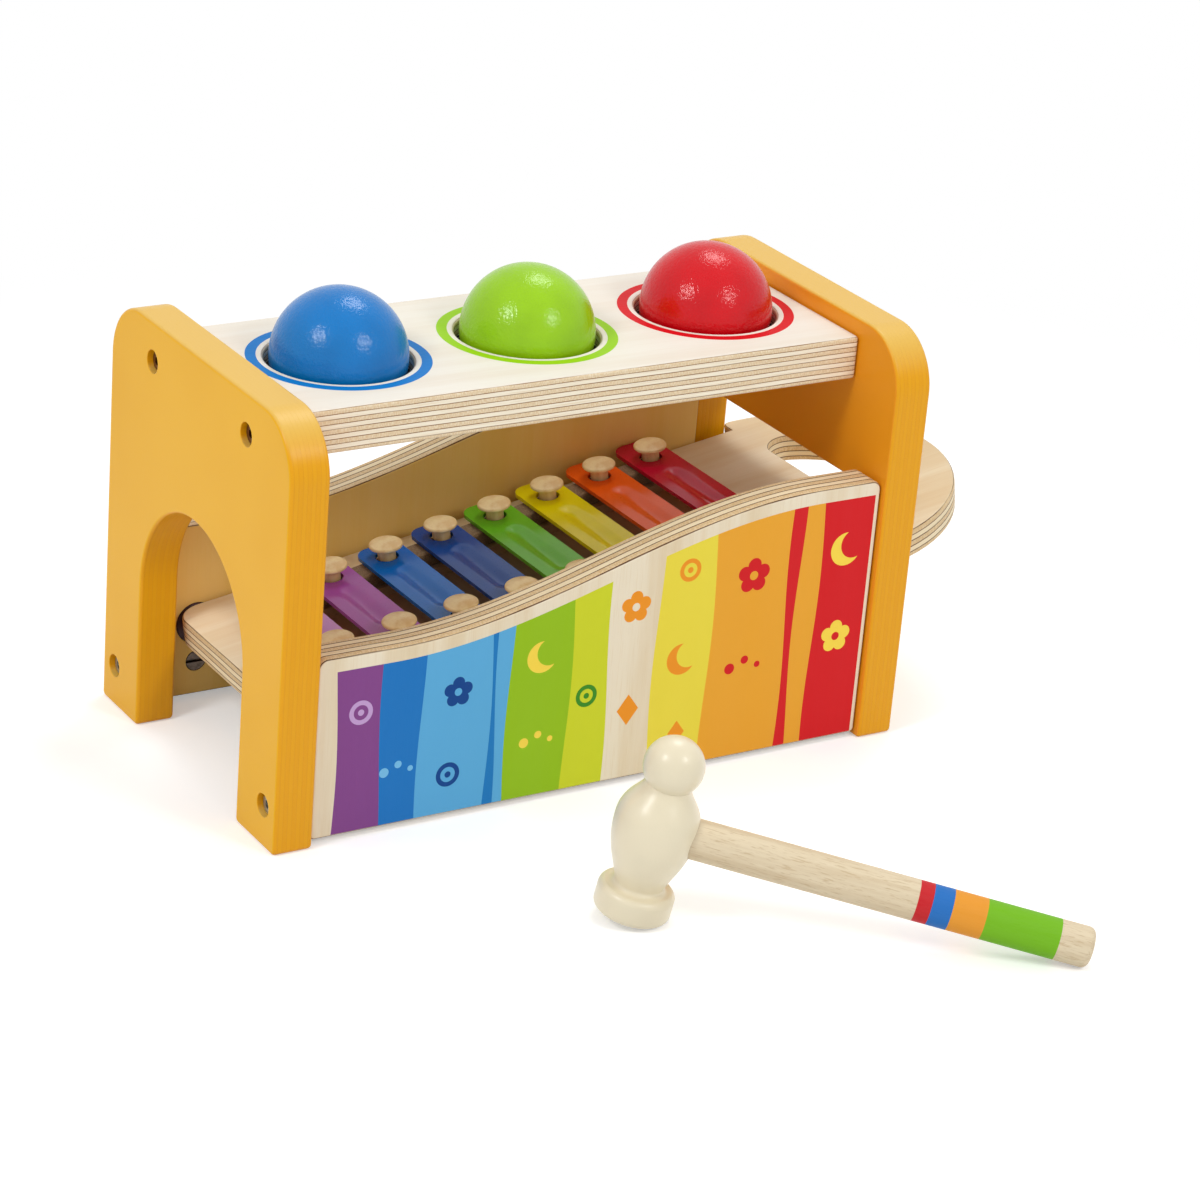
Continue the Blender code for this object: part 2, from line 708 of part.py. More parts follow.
def barrel_nuts(panel_name, inner, inward):
    """Round nuts let into a long panel's inner face, each with the cross hole that takes the bolt."""
    turn = ALONG_Y if inward > 0 else AGAINST_Y
    for side, x in nut_places().items():
        start = inner - inward * NUT_LENGTH
        bm = turned([(0, NUT_LENGTH), (NUT_RADIUS, NUT_LENGTH), (NUT_RADIUS, 0), (0, 0)], PIN_SIDES)
        nut = make_object(
            f"{panel_name}_{side}_nut", bm, ZINC_STEEL, bench, (x, start, BOLT_HEIGHT), turn
        )
        middle = inner - inward * PANEL_THICKNESS / 2
        drill = pin_cutter(
            f"{panel_name}_{side}_nut_thread",
            BOLT_RADIUS + SEAT_GAP,
            2 * (NUT_RADIUS + OVERRUN),
            bench,
            (x - NUT_RADIUS - OVERRUN, middle, BOLT_HEIGHT),
            ALONG_X,
        )
        cut(nut, drill)


tray = make_empty(
    "tray_slide", bench, (TRAY_LEFT, MIDDLE_Y, TRAY_LEFT_HEIGHT), (0, -TRAY_SLOPE, 0)
)


def tray_outline():
    """Straight sides inside the bench, then shoulders just outside the door that carry a round pull end."""
    half = TRAY_WIDTH / 2
    shoulder = math.sqrt(PULL_RADIUS**2 - (SHOULDER_ALONG - PULL_CENTRE) ** 2)
    turn = math.degrees(math.atan2(shoulder, SHOULDER_ALONG - PULL_CENTRE))
    round_end = arc(PULL_CENTRE, 0, PULL_RADIUS, -turn, turn, round(math.radians(2 * turn) / ARC_STEP))
    return rounded_outline([
        (0, -half, TRAY_LEFT_CORNER),
        (SHOULDER_ALONG, -half, 0),
        (SHOULDER_ALONG, -shoulder, SHOULDER_CORNER),
        *[(p.x, p.y, 0) for p in round_end[1:-1]],
        (SHOULDER_ALONG, shoulder, SHOULDER_CORNER),
        (SHOULDER_ALONG, half, 0),
        (0, half, TRAY_LEFT_CORNER),
    ])


def tray_board():
    """Sloping board: round pull end with a finger grip, a trough under the bars and blind holes for the posts."""
    board = make_object("tray_board", prism(tray_outline(), -TRAY_THICKNESS, 0), PALE_PLY, tray)
    grip = half_moon(SHOULDER_ALONG + GRIP_FROM_SHOULDER, PULL_CENTRE, PULL_RADIUS - GRIP_RIM, GRIP_CORNER)
    cut(board, make_object("finger_grip", prism(grip, -TRAY_THICKNESS - OVERRUN, OVERRUN), None, tray))
    round_arrises(board, TRAY_ARRIS)
    cut(board, make_object("trough", prism(trough_outline(), -TROUGH_DEPTH, OVERRUN), None, tray))
    bm = bmesh.new()
    for _name, x, y in post_places():
        one = turned(
            [
                (0, OVERRUN),
                (STEM_RADIUS + SEAT_GAP, OVERRUN),
                (STEM_RADIUS + SEAT_GAP, -POST_SEAT_DEPTH - SEAT_GAP),
                (0, -POST_SEAT_DEPTH - SEAT_GAP),
            ],
            POST_SIDES,
        )
        bmesh.ops.translate(one, vec=(x, y, 0), verts=one.verts)
        scratch = bpy.data.meshes.new("one hole")
        one.to_mesh(scratch)
        one.free()
        bm.from_mesh(scratch)
        bpy.data.meshes.remove(scratch)
    cut(board, make_object("post_holes", bm, None, tray))


def trough_outline():
    """Long trapezium between the felt strips."""
    left = bar_place(0) - BAR_WIDTH / 2
    right = bar_place(BAR_COUNT - 1) + BAR_WIDTH / 2
    inset = FELT_WIDTH / 2 + TROUGH_MARGIN
    left_half = post_spacing(0) / 2 - inset
    right_half = post_spacing(BAR_COUNT - 1) / 2 - inset
    return rounded_outline([
        (left, -left_half, TROUGH_CORNER),
        (right, -right_half, TROUGH_CORNER),
        (right, right_half, TROUGH_CORNER),
        (left, left_half, TROUGH_CORNER),
    ], ARC_STEP * 2)


def post_places():
    """Name, X and Y on the tray of the two posts of each bar."""
    places = []
    for index, colour in enumerate(BAR_COLOURS):
        half = post_spacing(index) / 2
        places.append((f"{colour}_bar_front_post", bar_place(index), -half))
        places.append((f"{colour}_bar_rear_post", bar_place(index), half))
    return places


def posts():
    """Turned mushroom posts: a domed head over a stem that goes through the bar and felt into the tray."""
    rim = POST_HEAD_DIAMETER / 2
    under = POST_TOP - POST_HEAD_THICKNESS - POST_DOME
    profile = [
        (0, POST_TOP),
        (rim * 2 / 3, POST_TOP - POST_DOME / 3),
        (rim, POST_TOP - POST_DOME),
        (rim, under + POST_DOME / 2),
        (STEM_RADIUS, under - POST_DOME / 2),
        (STEM_RADIUS, -POST_SEAT_DEPTH),
        (0, -POST_SEAT_DEPTH),
    ]
    for name, x, y in post_places():
        make_object(name, turned(profile, POST_SIDES), TURNED_WOOD, tray, (x, y, 0))


def felt_strips():
    """Two straight strips under the rows of posts, with a hole for each stem."""
    reach = BAR_WIDTH / 2
    first = bar_place(0)
    last = bar_place(BAR_COUNT - 1)
    lean = (post_spacing(BAR_COUNT - 1) - post_spacing(0)) / 2 / (last - first)
    half = FELT_WIDTH / 2
    for name, side in (("front_felt_strip", -1), ("rear_felt_strip", 1)):
        near = side * (post_spacing(0) / 2 - reach * lean)
        far = side * (post_spacing(BAR_COUNT - 1) / 2 + reach * lean)
        outline = [
            Vector((first - reach, near - half)),
            Vector((last + reach, far - half)),
            Vector((last + reach, far + half)),
            Vector((first - reach, near + half)),
        ]
        strip = make_object(name, prism(outline, SEAT_GAP, FELT_TOP), DARK_FELT, tray)
        bm = bmesh.new()
        for index in range(BAR_COUNT):
            place = Matrix.Translation((bar_place(index), side * post_spacing(index) / 2, (SEAT_GAP + FELT_TOP) / 2))
            bmesh.ops.create_cone(
                bm,
                cap_ends=True,
                segments=POST_SIDES,
                radius1=STEM_RADIUS + SEAT_GAP,
                radius2=STEM_RADIUS + SEAT_GAP,
                depth=FELT_THICKNESS + 2 * OVERRUN,
                matrix=place,
            )
        cut(strip, make_object(f"{name}_holes", bm, None, tray))


def bars():
    """Pressed metal bars: two post holes and a sunken channel between them that stiffens the sheet."""
    for index, (colour, paint_colour) in enumerate(BAR_COLOURS.items()):
        half_spacing = post_spacing(index) / 2
        half_length = bar_length(index) / 2
        half_width = BAR_WIDTH / 2
        location = (bar_place(index), 0, BAR_BOTTOM)
        outline = rounded_rectangle(-half_width, -half_length, half_width, half_length, BAR_CORNER, 3 * ARC_STEP)
        paint = make_material(f"{colour}_bar_paint", paint_colour, 0.35, 0.3)
        name = f"{colour}_bar"
        bar = make_object(name, prism(outline, 0, BAR_THICKNESS), paint, tray, location)
        channel_half = half_spacing * CHANNEL_LENGTH_share
        grown = BAR_THICKNESS / 2
        bump = rounded_rectangle(
            -CHANNEL_WIDTH / 2 - grown,
            -channel_half - grown,
            CHANNEL_WIDTH / 2 + grown,
            channel_half + grown,
            CHANNEL_WIDTH / 2,
            2 * ARC_STEP,
        )
        under = make_object(
            f"{name}_channel_under",
            prism(bump, -CHANNEL_DEPTH, BAR_THICKNESS / 2, CHANNEL_SLOPE),
            None,
            tray,
            location,
        )
        cut(bar, under, "UNION")
        groove = rounded_rectangle(
            -CHANNEL_WIDTH / 2, -channel_half, CHANNEL_WIDTH / 2, channel_half, CHANNEL_WIDTH / 2.5, 2 * ARC_STEP
        )
        over = make_object(
            f"{name}_channel",
            prism(groove, BAR_THICKNESS - CHANNEL_DEPTH, BAR_THICKNESS + CHANNEL_DEPTH, 2 * CHANNEL_SLOPE),
            None,
            tray,
            location,
        )
        cut(bar, over)
        for place, side in (("front", -1), ("rear", 1)):
            drill = pin_cutter(
                f"{name}_{place}_hole",
                BAR_HOLE_DIAMETER / 2,
                BAR_THICKNESS + 2 * OVERRUN,
                tray,
                (bar_place(index), side * half_spacing, BAR_BOTTOM - OVERRUN),
            )
            cut(bar, drill)


def mallet_tilt():
    """Lean of the mallet at rest: its foot's rim and the rounded end of its handle both touch the floor."""
    drop = HANDLE_HEIGHT - (HANDLE_RADIUS - MALLET_ARRIS) - MALLET_ARRIS
    reach = (HANDLE_END - MALLET_ARRIS) - (HEAD_FOOT_RADIUS - MALLET_ARRIS)
    return math.atan2(drop, reach)


def mallet_height():
    """Height of the middle of the foot's underside when the rim touches the floor."""
    tilt = mallet_tilt()
    rim = HEAD_FOOT_RADIUS - MALLET_ARRIS
    return rim * math.sin(tilt) + MALLET_ARRIS * (1 - math.cos(tilt))


mallet = make_empty(
    "mallet", whole_set, (MALLET_X, MALLET_Y, mallet_height()), (0, mallet_tilt(), MALLET_TURN)
)


def swell(start, end, pulls, steps):
    """Curve between two points of the head's profile. pulls are shares of the height that keep each end upright."""
    height = end[1] - start[1]
    points = interpolate_bezier(
        Vector(start),
        Vector((start[0] + (end[0] - start[0]) * pulls[0], start[1] + height * pulls[0])),
        Vector((end[0], end[1] - height * pulls[1])),
        Vector(end),
        steps + 1,
    )
    return [(p[0], p[1]) for p in points]


def mallet_head():
    """Turned head: round foot, narrow neck, swelling body and a ball on top, with a blind hole for the handle."""
    notch_height = HEAD_BALL_HEIGHT - math.sqrt(HEAD_BALL_RADIUS**2 - HEAD_NOTCH_RADIUS**2)
    notch_angle = math.degrees(math.asin((notch_height - HEAD_BALL_HEIGHT) / HEAD_BALL_RADIUS))
    rim = HEAD_FOOT_RADIUS - MALLET_ARRIS
    neck = (HEAD_NECK_RADIUS, HEAD_NECK_HEIGHT)
    waist = (HEAD_BODY_RADIUS, HEAD_BODY_HEIGHT)
    notch = (HEAD_NOTCH_RADIUS, notch_height)
    profile = [(0, 0)]
    profile += arc(rim, MALLET_ARRIS, MALLET_ARRIS, -90, 0, 3)
    profile += arc(rim, HEAD_FOOT_THICKNESS - MALLET_ARRIS, MALLET_ARRIS, 0, 90, 2)
    profile += swell(neck, waist, BODY_LOWER_PULL_share, 6)
    profile += swell(notch, waist, BODY_UPPER_PULL_share, 5)[-2::-1]
    profile += arc(0, HEAD_BALL_HEIGHT, HEAD_BALL_RADIUS, notch_angle, 90, 7)[1:-1]
    profile.append((0, HEAD_BALL_HEIGHT + HEAD_BALL_RADIUS))
    head = make_object("mallet_head", turned(profile, HEAD_SIDES), CREAM_LACQUER, mallet)
    drill = pin_cutter(
        "handle_hole",
        HANDLE_RADIUS + SEAT_GAP,
        HEAD_BODY_RADIUS + OVERRUN + HANDLE_SEAT_DEPTH,
        mallet,
        (HEAD_BODY_RADIUS - HANDLE_SEAT_DEPTH, 0, HANDLE_HEIGHT),
        ALONG_X,
        HANDLE_SIDES,
    )
    cut(head, drill)


def mallet_handle():
    """Round dowel, glued into the head and rounded at its free end."""
    start = HEAD_BODY_RADIUS - HANDLE_SEAT_DEPTH + SEAT_GAP
    rim = HANDLE_RADIUS - MALLET_ARRIS
    profile = [(0, start), (HANDLE_RADIUS, start)]
    profile += arc(rim, HANDLE_END - MALLET_ARRIS, MALLET_ARRIS, 0, 90, 3)
    profile.append((0, HANDLE_END))
    make_object(
        "mallet_handle", turned(profile, HANDLE_SIDES), HANDLE_WOOD, mallet, (0, 0, HANDLE_HEIGHT), ALONG_X
    )


def centre_on_floor():
    """Moves the set so that the middle of its footprint is at X = 0 and Y = 0, and its lowest point at Z = 0."""
    bpy.context.view_layer.update()
    graph = bpy.context.evaluated_depsgraph_get()
    low = Vector((math.inf,) * 3)
    high = -low
    for obj in bpy.context.scene.objects:
        if obj.type != "MESH" or obj.hide_render:
            continue
        evaluated = obj.evaluated_get(graph)
        for vertex in evaluated.data.vertices:
            point = evaluated.matrix_world @ vertex.co
            low = Vector(map(min, low, point))
            high = Vector(map(max, high, point))
    whole_set.location = (-(low.x + high.x) / 2, -(low.y + high.y) / 2, -low.z)


left_end_panel()
right_end_panel()
for panel_name, panel_rear, inner_face, facing in (
    ("front_panel", PANEL_INNER_FACE, PANEL_INNER_FACE, 1),
    ("back_panel", BENCH_DEPTH - PANEL_FRONT_FACE, BENCH_DEPTH - PANEL_INNER_FACE, -1),
):
    long_panel(panel_name, panel_rear, facing)
    pegs(panel_name, inner_face, facing)
    barrel_nuts(panel_name, inner_face, facing)
top_board()
balls()
ball_rings()
fixings()
tray_board()
felt_strips()
bars()
posts()
mallet_head()
mallet_handle()
centre_on_floor()
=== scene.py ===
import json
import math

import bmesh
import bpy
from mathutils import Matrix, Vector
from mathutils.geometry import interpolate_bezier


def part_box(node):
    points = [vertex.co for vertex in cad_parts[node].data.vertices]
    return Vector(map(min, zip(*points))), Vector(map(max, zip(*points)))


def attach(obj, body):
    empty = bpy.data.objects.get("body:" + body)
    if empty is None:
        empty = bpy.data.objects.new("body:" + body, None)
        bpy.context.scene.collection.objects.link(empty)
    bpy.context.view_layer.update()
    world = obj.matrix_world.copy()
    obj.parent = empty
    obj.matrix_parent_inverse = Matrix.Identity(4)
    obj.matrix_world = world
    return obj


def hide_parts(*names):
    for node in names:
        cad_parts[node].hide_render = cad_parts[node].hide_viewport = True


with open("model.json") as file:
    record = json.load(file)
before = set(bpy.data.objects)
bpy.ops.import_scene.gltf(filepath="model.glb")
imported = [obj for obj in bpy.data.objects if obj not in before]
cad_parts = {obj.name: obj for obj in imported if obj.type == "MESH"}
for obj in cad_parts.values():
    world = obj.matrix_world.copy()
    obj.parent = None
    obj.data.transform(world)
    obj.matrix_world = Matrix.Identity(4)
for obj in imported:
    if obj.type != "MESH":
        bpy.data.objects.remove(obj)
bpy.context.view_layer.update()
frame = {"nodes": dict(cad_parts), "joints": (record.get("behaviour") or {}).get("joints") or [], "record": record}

# %% [markdown]
# # A pounding bench with a xylophone
# The toy is a wooden bench. A child drives three balls through its top board, they fall on metal bars,
# roll down the sloping tray and come out of the arch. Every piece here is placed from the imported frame,
# so that what is drawn and what moves stay the same object.
#
# All lengths are in metres. `bench_corner` is the front left corner of the bench on the floor. The pieces
# of the bench are laid out from it, as a maker would measure them from one corner.

bench_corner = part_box("left_end_panel")[0]
body_of = {node: body for body, nodes in frame["record"]["behaviour"]["bodies"].items() for node in nodes}

# %% [markdown]
# ## The camera
# The photograph was taken with a long lens from the front left, a little above the bench. A long lens
# keeps the parallel edges nearly parallel, as in a catalogue. The small roll is the photographer's: the
# picture leans by a few degrees. The aim is a point inside the bench, in the middle of the picture.

# %% Camera
CAMERA_FROM_CORNER = Vector((-0.4969, -0.9369, 0.5592))
AIM_FROM_CORNER = Vector((0.1500, 0.0550, 0.0414))
CAMERA_ROLL = math.radians(4.80)
LENS_MM = 113.8
SENSOR_MM = 36

camera_data = bpy.data.cameras.new("catalogue camera")
camera_data.sensor_width = SENSOR_MM
camera_data.lens = LENS_MM
camera = bpy.data.objects.new("catalogue camera", camera_data)
bpy.context.scene.collection.objects.link(camera)
look = (AIM_FROM_CORNER - CAMERA_FROM_CORNER).to_track_quat("-Z", "Y").to_matrix()
camera.location = bench_corner + CAMERA_FROM_CORNER
camera.rotation_euler = (look @ Matrix.Rotation(CAMERA_ROLL, 3, "Z")).to_euler()
bpy.context.scene.camera = camera
print("camera at", [round(c, 3) for c in camera.location], "with a lens of", LENS_MM, "mm")

# %% [markdown]
# ## Nodes in a script
# Finishes, the floor and the world's light are nets of nodes. In the editor one draws wires between them.
# In a script, one short function that adds a node and joins its inputs keeps each net easy to read. The
# third tool tells rays that show a thing, straight or in a mirror, from rays that only light something.

# %% Tools for nodes
def add(tree, kind, inputs=None, output=0, **settings):
    """Adds a node and gives one of its outputs. An input that is a socket is linked, any other is set."""
    node = tree.nodes.new("ShaderNode" + kind)
    for name, value in settings.items():
        setattr(node, name, value)
    for key, value in (inputs or {}).items():
        if isinstance(value, bpy.types.NodeSocket):
            tree.links.new(value, node.inputs[key])
        else:
            node.inputs[key].default_value = value
    return node.outputs[output]


def calc(tree, operation, a, b=0.0, clamp=False):
    """One step of arithmetic on every point of a surface."""
    return add(tree, "Math", {0: a, 1: b}, operation=operation, use_clamp=clamp)


def seen_directly(tree):
    """1 for what the camera sees straight, in a mirror or through glass, and 0 for light on surfaces."""
    path = tree.nodes.new("ShaderNodeLightPath").outputs
    gloss = calc(tree, "MAXIMUM", path["Is Glossy Ray"], path["Is Transmission Ray"])
    return calc(tree, "MAXIMUM", path["Is Camera Ray"], gloss)


print("the tools for nodes are ready")

# %% [markdown]
# ## Studio light
# Each ball shows three soft highlights: one from the left, one from the front and one from above. Those
# are the photographer's softboxes, and a highlight's place tells where its box stood. The boxes are area
# lamps here, aimed at the bench and placed by their direction from it. The white room around them is the
# world's light. Together they light a surface so that a colour renders about as it is written, which is
# why the view transform is Standard.

# %% Lamps and world
WORLD_STRENGTH = 0.64
BOX_DISTANCE = 1.24
SOFTBOXES = {
    "left softbox": (Vector((-0.713, -0.162, 0.682)), 0.24, 3.6),
    "front softbox": (Vector((0.224, -0.741, 0.633)), 0.23, 2.9),
    "top softbox": (Vector((0.322, 0.290, 0.901)), 0.42, 3.6),
}

bpy.context.scene.view_settings.view_transform = "Standard"
world = bpy.data.worlds.new("white room")
bpy.context.scene.world = world
world.use_nodes = True
room = world.node_tree
background = room.nodes["Background"]
background.inputs["Color"].default_value = (1, 1, 1, 1)
brighter = calc(room, "MULTIPLY", seen_directly(room), 1 - WORLD_STRENGTH)
room.links.new(calc(room, "ADD", brighter, WORLD_STRENGTH), background.inputs["Strength"])
for name, (direction, side, power) in SOFTBOXES.items():
    lamp = bpy.data.lights.new(name, "AREA")
    lamp.shape = "SQUARE"
    lamp.size = side
    lamp.energy = power
    box = bpy.data.objects.new(name, lamp)
    bpy.context.scene.collection.objects.link(box)
    towards = direction.normalized()
    box.location = bench_corner + AIM_FROM_CORNER + towards * BOX_DISTANCE
    box.rotation_euler = towards.to_track_quat("Z", "Y").to_euler()
    print(name, "at", [round(c, 2) for c in box.location], "gives", power, "watts")

# %% [markdown]
# ## The floor
# The set stands on a plain white surface and throws a faint, soft shadow on it. A floor of ordinary white
# paint would come out pale grey. This one also glows a little, but only for what the camera sees, so it
# turns white without lighting the toy from below. Far away it is simply white.

# %% Floor
FLOOR_HALF = 3.0
FLOOR_WHITE = 0.86
FLOOR_GLOW = 0.34
SHADOW_ENDS = (0.22, 0.55)

floor_mesh = bpy.data.meshes.new("floor")
corners = [(x * FLOOR_HALF, y * FLOOR_HALF, 0) for x, y in ((-1, -1), (1, -1), (1, 1), (-1, 1))]
floor_mesh.from_pydata(corners, [], [(0, 1, 2, 3)])
floor = bpy.data.objects.new("floor", floor_mesh)
bpy.context.scene.collection.objects.link(floor)
floor_paint = bpy.data.materials.new("white floor")
floor_paint.use_nodes = True
paint = floor_paint.node_tree
paint.nodes.remove(paint.nodes["Principled BSDF"])
spot = add(paint, "TexCoord", output="Object")
far = add(paint, "VectorMath", {0: spot}, "Value", operation="LENGTH")
fade = add(paint, "MapRange", {"Value": far, "From Min": SHADOW_ENDS[0], "From Max": SHADOW_ENDS[1]},
           interpolation_type="SMOOTHSTEP")
direct = seen_directly(paint)
matt = add(paint, "BsdfDiffuse", {"Color": (FLOOR_WHITE, FLOOR_WHITE, FLOOR_WHITE, 1)})
lift = calc(paint, "MULTIPLY", direct, FLOOR_GLOW)
glow = add(paint, "Emission", {"Color": (1, 1, 1, 1), "Strength": lift})
near_floor = add(paint, "AddShader", {0: matt, 1: glow})
white = add(paint, "Emission", {"Color": (1, 1, 1, 1), "Strength": 1.0})
shown = add(paint, "MixShader", {0: calc(paint, "MULTIPLY", fade, direct), 1: near_floor, 2: white})
paint.links.new(shown, paint.nodes["Material Output"].inputs["Surface"])
floor_mesh.materials.append(floor_paint)
print("the shadow fades out between", SHADOW_ENDS, "m from the middle of the set")

# %% [markdown]
# ## Where the pieces go
# Three frames carry the pieces: the bench, the sloping tray and the leaning mallet. Each is a matrix whose
# axes run along its pieces, so that a piece is drawn flat, at its own origin, and then set in place. The
# slope comes from the tray's joint. The places come from the CAD nodes, measured along those axes, so a
# changed size in the model moves everything here.

# %% Frames and measuring
def local_box(node, place):
    """Lowest and highest corner of a CAD node, measured along the axes of a frame."""
    back = place.inverted()
    points = [back @ vertex.co for vertex in frame["nodes"][node].data.vertices]
    low = Vector([min(p[axis] for p in points) for axis in range(3)])
    high = Vector([max(p[axis] for p in points) for axis in range(3)])
    return low, high


def middle(low, high):
    return (low + high) / 2


bench_place = Matrix.Translation(bench_corner)
slide = next(joint for joint in frame["joints"] if joint["name"] == "tray_slide")
slope = math.atan2(slide["axis"][2], slide["axis"][0])
tray_turn = Matrix.Rotation(-slope, 4, "Y")
tray_low, tray_high = local_box("tray_board", tray_turn)
tray_origin = Vector((tray_low.x, middle(tray_low, tray_high).y, tray_high.z))
tray_place = tray_turn @ Matrix.Translation(tray_origin)
print("the tray slopes by", round(math.degrees(slope), 2), "degrees")

# %% [markdown]
# ## From CAD node to finished piece
# A finished piece takes the place of its plain CAD node: it rides on the same body. Pieces that only need
# a finish could keep the node, but most arrises and round parts here are drawn finer than the CAD has them.

# %% Standing in for a node
def stand_in(piece, node, edges=False):
    """Shows a finished piece in the place of a CAD node. edges keeps a turned piece's cut edges crisp."""
    if edges:
        piece.data.set_sharp_from_angle(angle=ARRIS_ANGLE)
    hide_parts(node)
    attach(piece, body_of[node])


def new_piece(name, mesh, place, finish):
    """Makes an object of a bmesh, with its own axes set by a frame and one finish."""
    bmesh.ops.recalc_face_normals(mesh, faces=mesh.faces)
    data = bpy.data.meshes.new(name)
    mesh.to_mesh(data)
    mesh.free()
    if finish:
        data.materials.append(finish)
    data.shade_smooth()
    piece = bpy.data.objects.new(name, data)
    bpy.context.scene.collection.objects.link(piece)
    piece.matrix_world = place
    return piece


# %% [markdown]
# ## Outlines
# Every board starts as a flat outline with rounded corners. A corner is written as its place and a radius,
# as on a maker's drawing. The arc that rounds it touches both sides, so its centre lies on the line that
# halves the corner.

# %% Outlines
FINE_STEP = math.radians(5)
TINY = 0.00002


def arc(centre, radius, first, last, step=FINE_STEP):
    """Points round a centre, from one angle to another in radians."""
    steps = max(2, round(abs(last - first) / step))
    angles = [first + (last - first) * i / steps for i in range(steps + 1)]
    return [Vector((centre[0] + radius * math.cos(a), centre[1] + radius * math.sin(a))) for a in angles]


def lathe_arc(centre, radius, first, last, step=FINE_STEP):
    """The same arc as plain pairs of radius and height, for a profile that is turned."""
    return [(p.x, p.y) for p in arc(centre, radius, first, last, step)]


def distinct(points):
    return [p for i, p in enumerate(points) if (p - points[i - 1]).length > TINY]


def rounded_outline(corners):
    """Closed outline through corners (x, y, radius). A radius of zero keeps the corner sharp."""
    points = []
    for index, (x, y, radius) in enumerate(corners):
        corner = Vector((x, y))
        if not radius:
            points.append(corner)
            continue
        before = (Vector(corners[index - 1][:2]) - corner).normalized()
        after = (Vector(corners[(index + 1) % len(corners)][:2]) - corner).normalized()
        half = before.angle(after) / 2
        centre = corner + (before + after).normalized() * (radius / math.sin(half))
        start = corner + before * (radius / math.tan(half)) - centre
        turn = -start.angle_signed(corner + after * (radius / math.tan(half)) - centre)
        first = math.atan2(start.y, start.x)
        points += arc(centre, radius, first, first + turn)
    return distinct(points)


def rectangle(x0, y0, x1, y1, radius=0):
    return rounded_outline([(x0, y0, radius), (x1, y0, radius), (x1, y1, radius), (x0, y1, radius)])


def outset(outline, distance):
    """The same outline moved outward, or inward where the distance is negative."""
    moved = []
    for i, point in enumerate(outline):
        before = (point - outline[i - 1]).normalized()
        after = (outline[(i + 1) % len(outline)] - point).normalized()
        side, next_side = Vector((before.y, -before.x)), Vector((after.y, -after.x))
        moved.append(point + (side + next_side) * (distance / (1 + side.dot(next_side))))
    return moved


print("an arc has a point every", round(math.degrees(FINE_STEP)), "degrees")

# %% [markdown]
# ## Boards with soft arrises, and turned pieces
# A Bevel modifier could round the edges of a board, but after a Boolean it leaves slivers where a hole's
# edges meet the rim. So each slab is lofted through copies of its outline that follow a quarter round, and
# an opening is cut with a solid that widens at its mouth. Round pieces are spun from half of their outline.

# %% Slabs, openings and turnings
ARRIS_STEPS = 4
OVERRUN = 0.003


def loft(outline, levels):
    """Closed solid through copies of an outline. A level is a height and how far outward the copy lies."""
    mesh = bmesh.new()
    rings = [[mesh.verts.new((p.x, p.y, height)) for p in outset(outline, away)] for height, away in levels]
    mesh.faces.new(rings[0][::-1])
    mesh.faces.new(rings[-1])
    for low, high in zip(rings, rings[1:]):
        for i in range(len(low)):
            mesh.faces.new((low[i - 1], low[i], high[i], high[i - 1]))
    return mesh


def quarter(arris):
    """Steps of a rounded arris: how far in from the face, and how far across from the side."""
    turns = [math.pi / 2 * i / ARRIS_STEPS for i in range(ARRIS_STEPS + 1)]
    return [(arris * (1 - math.cos(turn)), arris * (1 - math.sin(turn))) for turn in turns]


def slab(outline, bottom, top, arris=0.0):
    """A board over an outline, with sanded arrises."""
    if not arris:
        return loft(outline, [(bottom, 0), (top, 0)])
    low = [(bottom + inward, -across) for inward, across in quarter(arris)]
    high = [(top - inward, -across) for inward, across in reversed(quarter(arris))]
    return loft(outline, low + high)


def opening(outline, bottom, top, arris):
    """What is taken out of a board for an opening with sanded arrises."""
    low = [(bottom + inward, across) for inward, across in quarter(arris)]
    high = [(top - inward, across) for inward, across in reversed(quarter(arris))]
    return loft(outline, [(bottom - OVERRUN, arris)] + low + high + [(top + OVERRUN, arris)])


def turned(profile, sides=64):
    """Revolves a profile of (radius, height) points about the Z axis, as a lathe does."""
    mesh = bmesh.new()
    points = [mesh.verts.new((radius, 0, height)) for radius, height in profile]
    edges = [mesh.edges.new(pair) for pair in zip(points, points[1:])]
    bmesh.ops.spin(mesh, geom=points + edges, cent=(0, 0, 0), axis=(0, 0, 1), angle=math.tau,
                   steps=sides, use_merge=True)
    bmesh.ops.remove_doubles(mesh, verts=mesh.verts, dist=TINY / 4)
    return mesh


def rod(radius, start, end, sides):
    """A plain turned rod between two heights, which is also the shape of a drill's hole."""
    return turned([(0, start), (radius, start), (radius, end), (0, end)], sides)


print("an arris is rounded in", ARRIS_STEPS, "steps")

# %% [markdown]
# ## Cutting and sanding
# A hole is cut with the exact Boolean solver, which leaves clean edges where two surfaces only just meet.
# The modifiers are applied at once, so that each piece is a plain mesh and its tool can be thrown away.
# Sanding only corrects the shading: the small rounded strips then take the light, and the faces stay flat.

# %% Cutting and sanding
ARRIS_ANGLE = math.radians(40)


def settle(piece):
    """Applies the modifiers of a piece to its mesh."""
    graph = bpy.context.evaluated_depsgraph_get()
    mesh = bpy.data.meshes.new_from_object(
        piece.evaluated_get(graph), preserve_all_data_layers=True, depsgraph=graph
    )
    piece.modifiers.clear()
    piece.data = mesh


def cut(piece, mesh, place):
    """Cuts a bmesh out of a piece."""
    cutter = new_piece("cutter", mesh, place, None)
    step = piece.modifiers.new("cut", "BOOLEAN")
    step.operation = "DIFFERENCE"
    step.solver = "EXACT"
    step.object = cutter
    settle(piece)
    bpy.data.objects.remove(cutter, do_unlink=True)


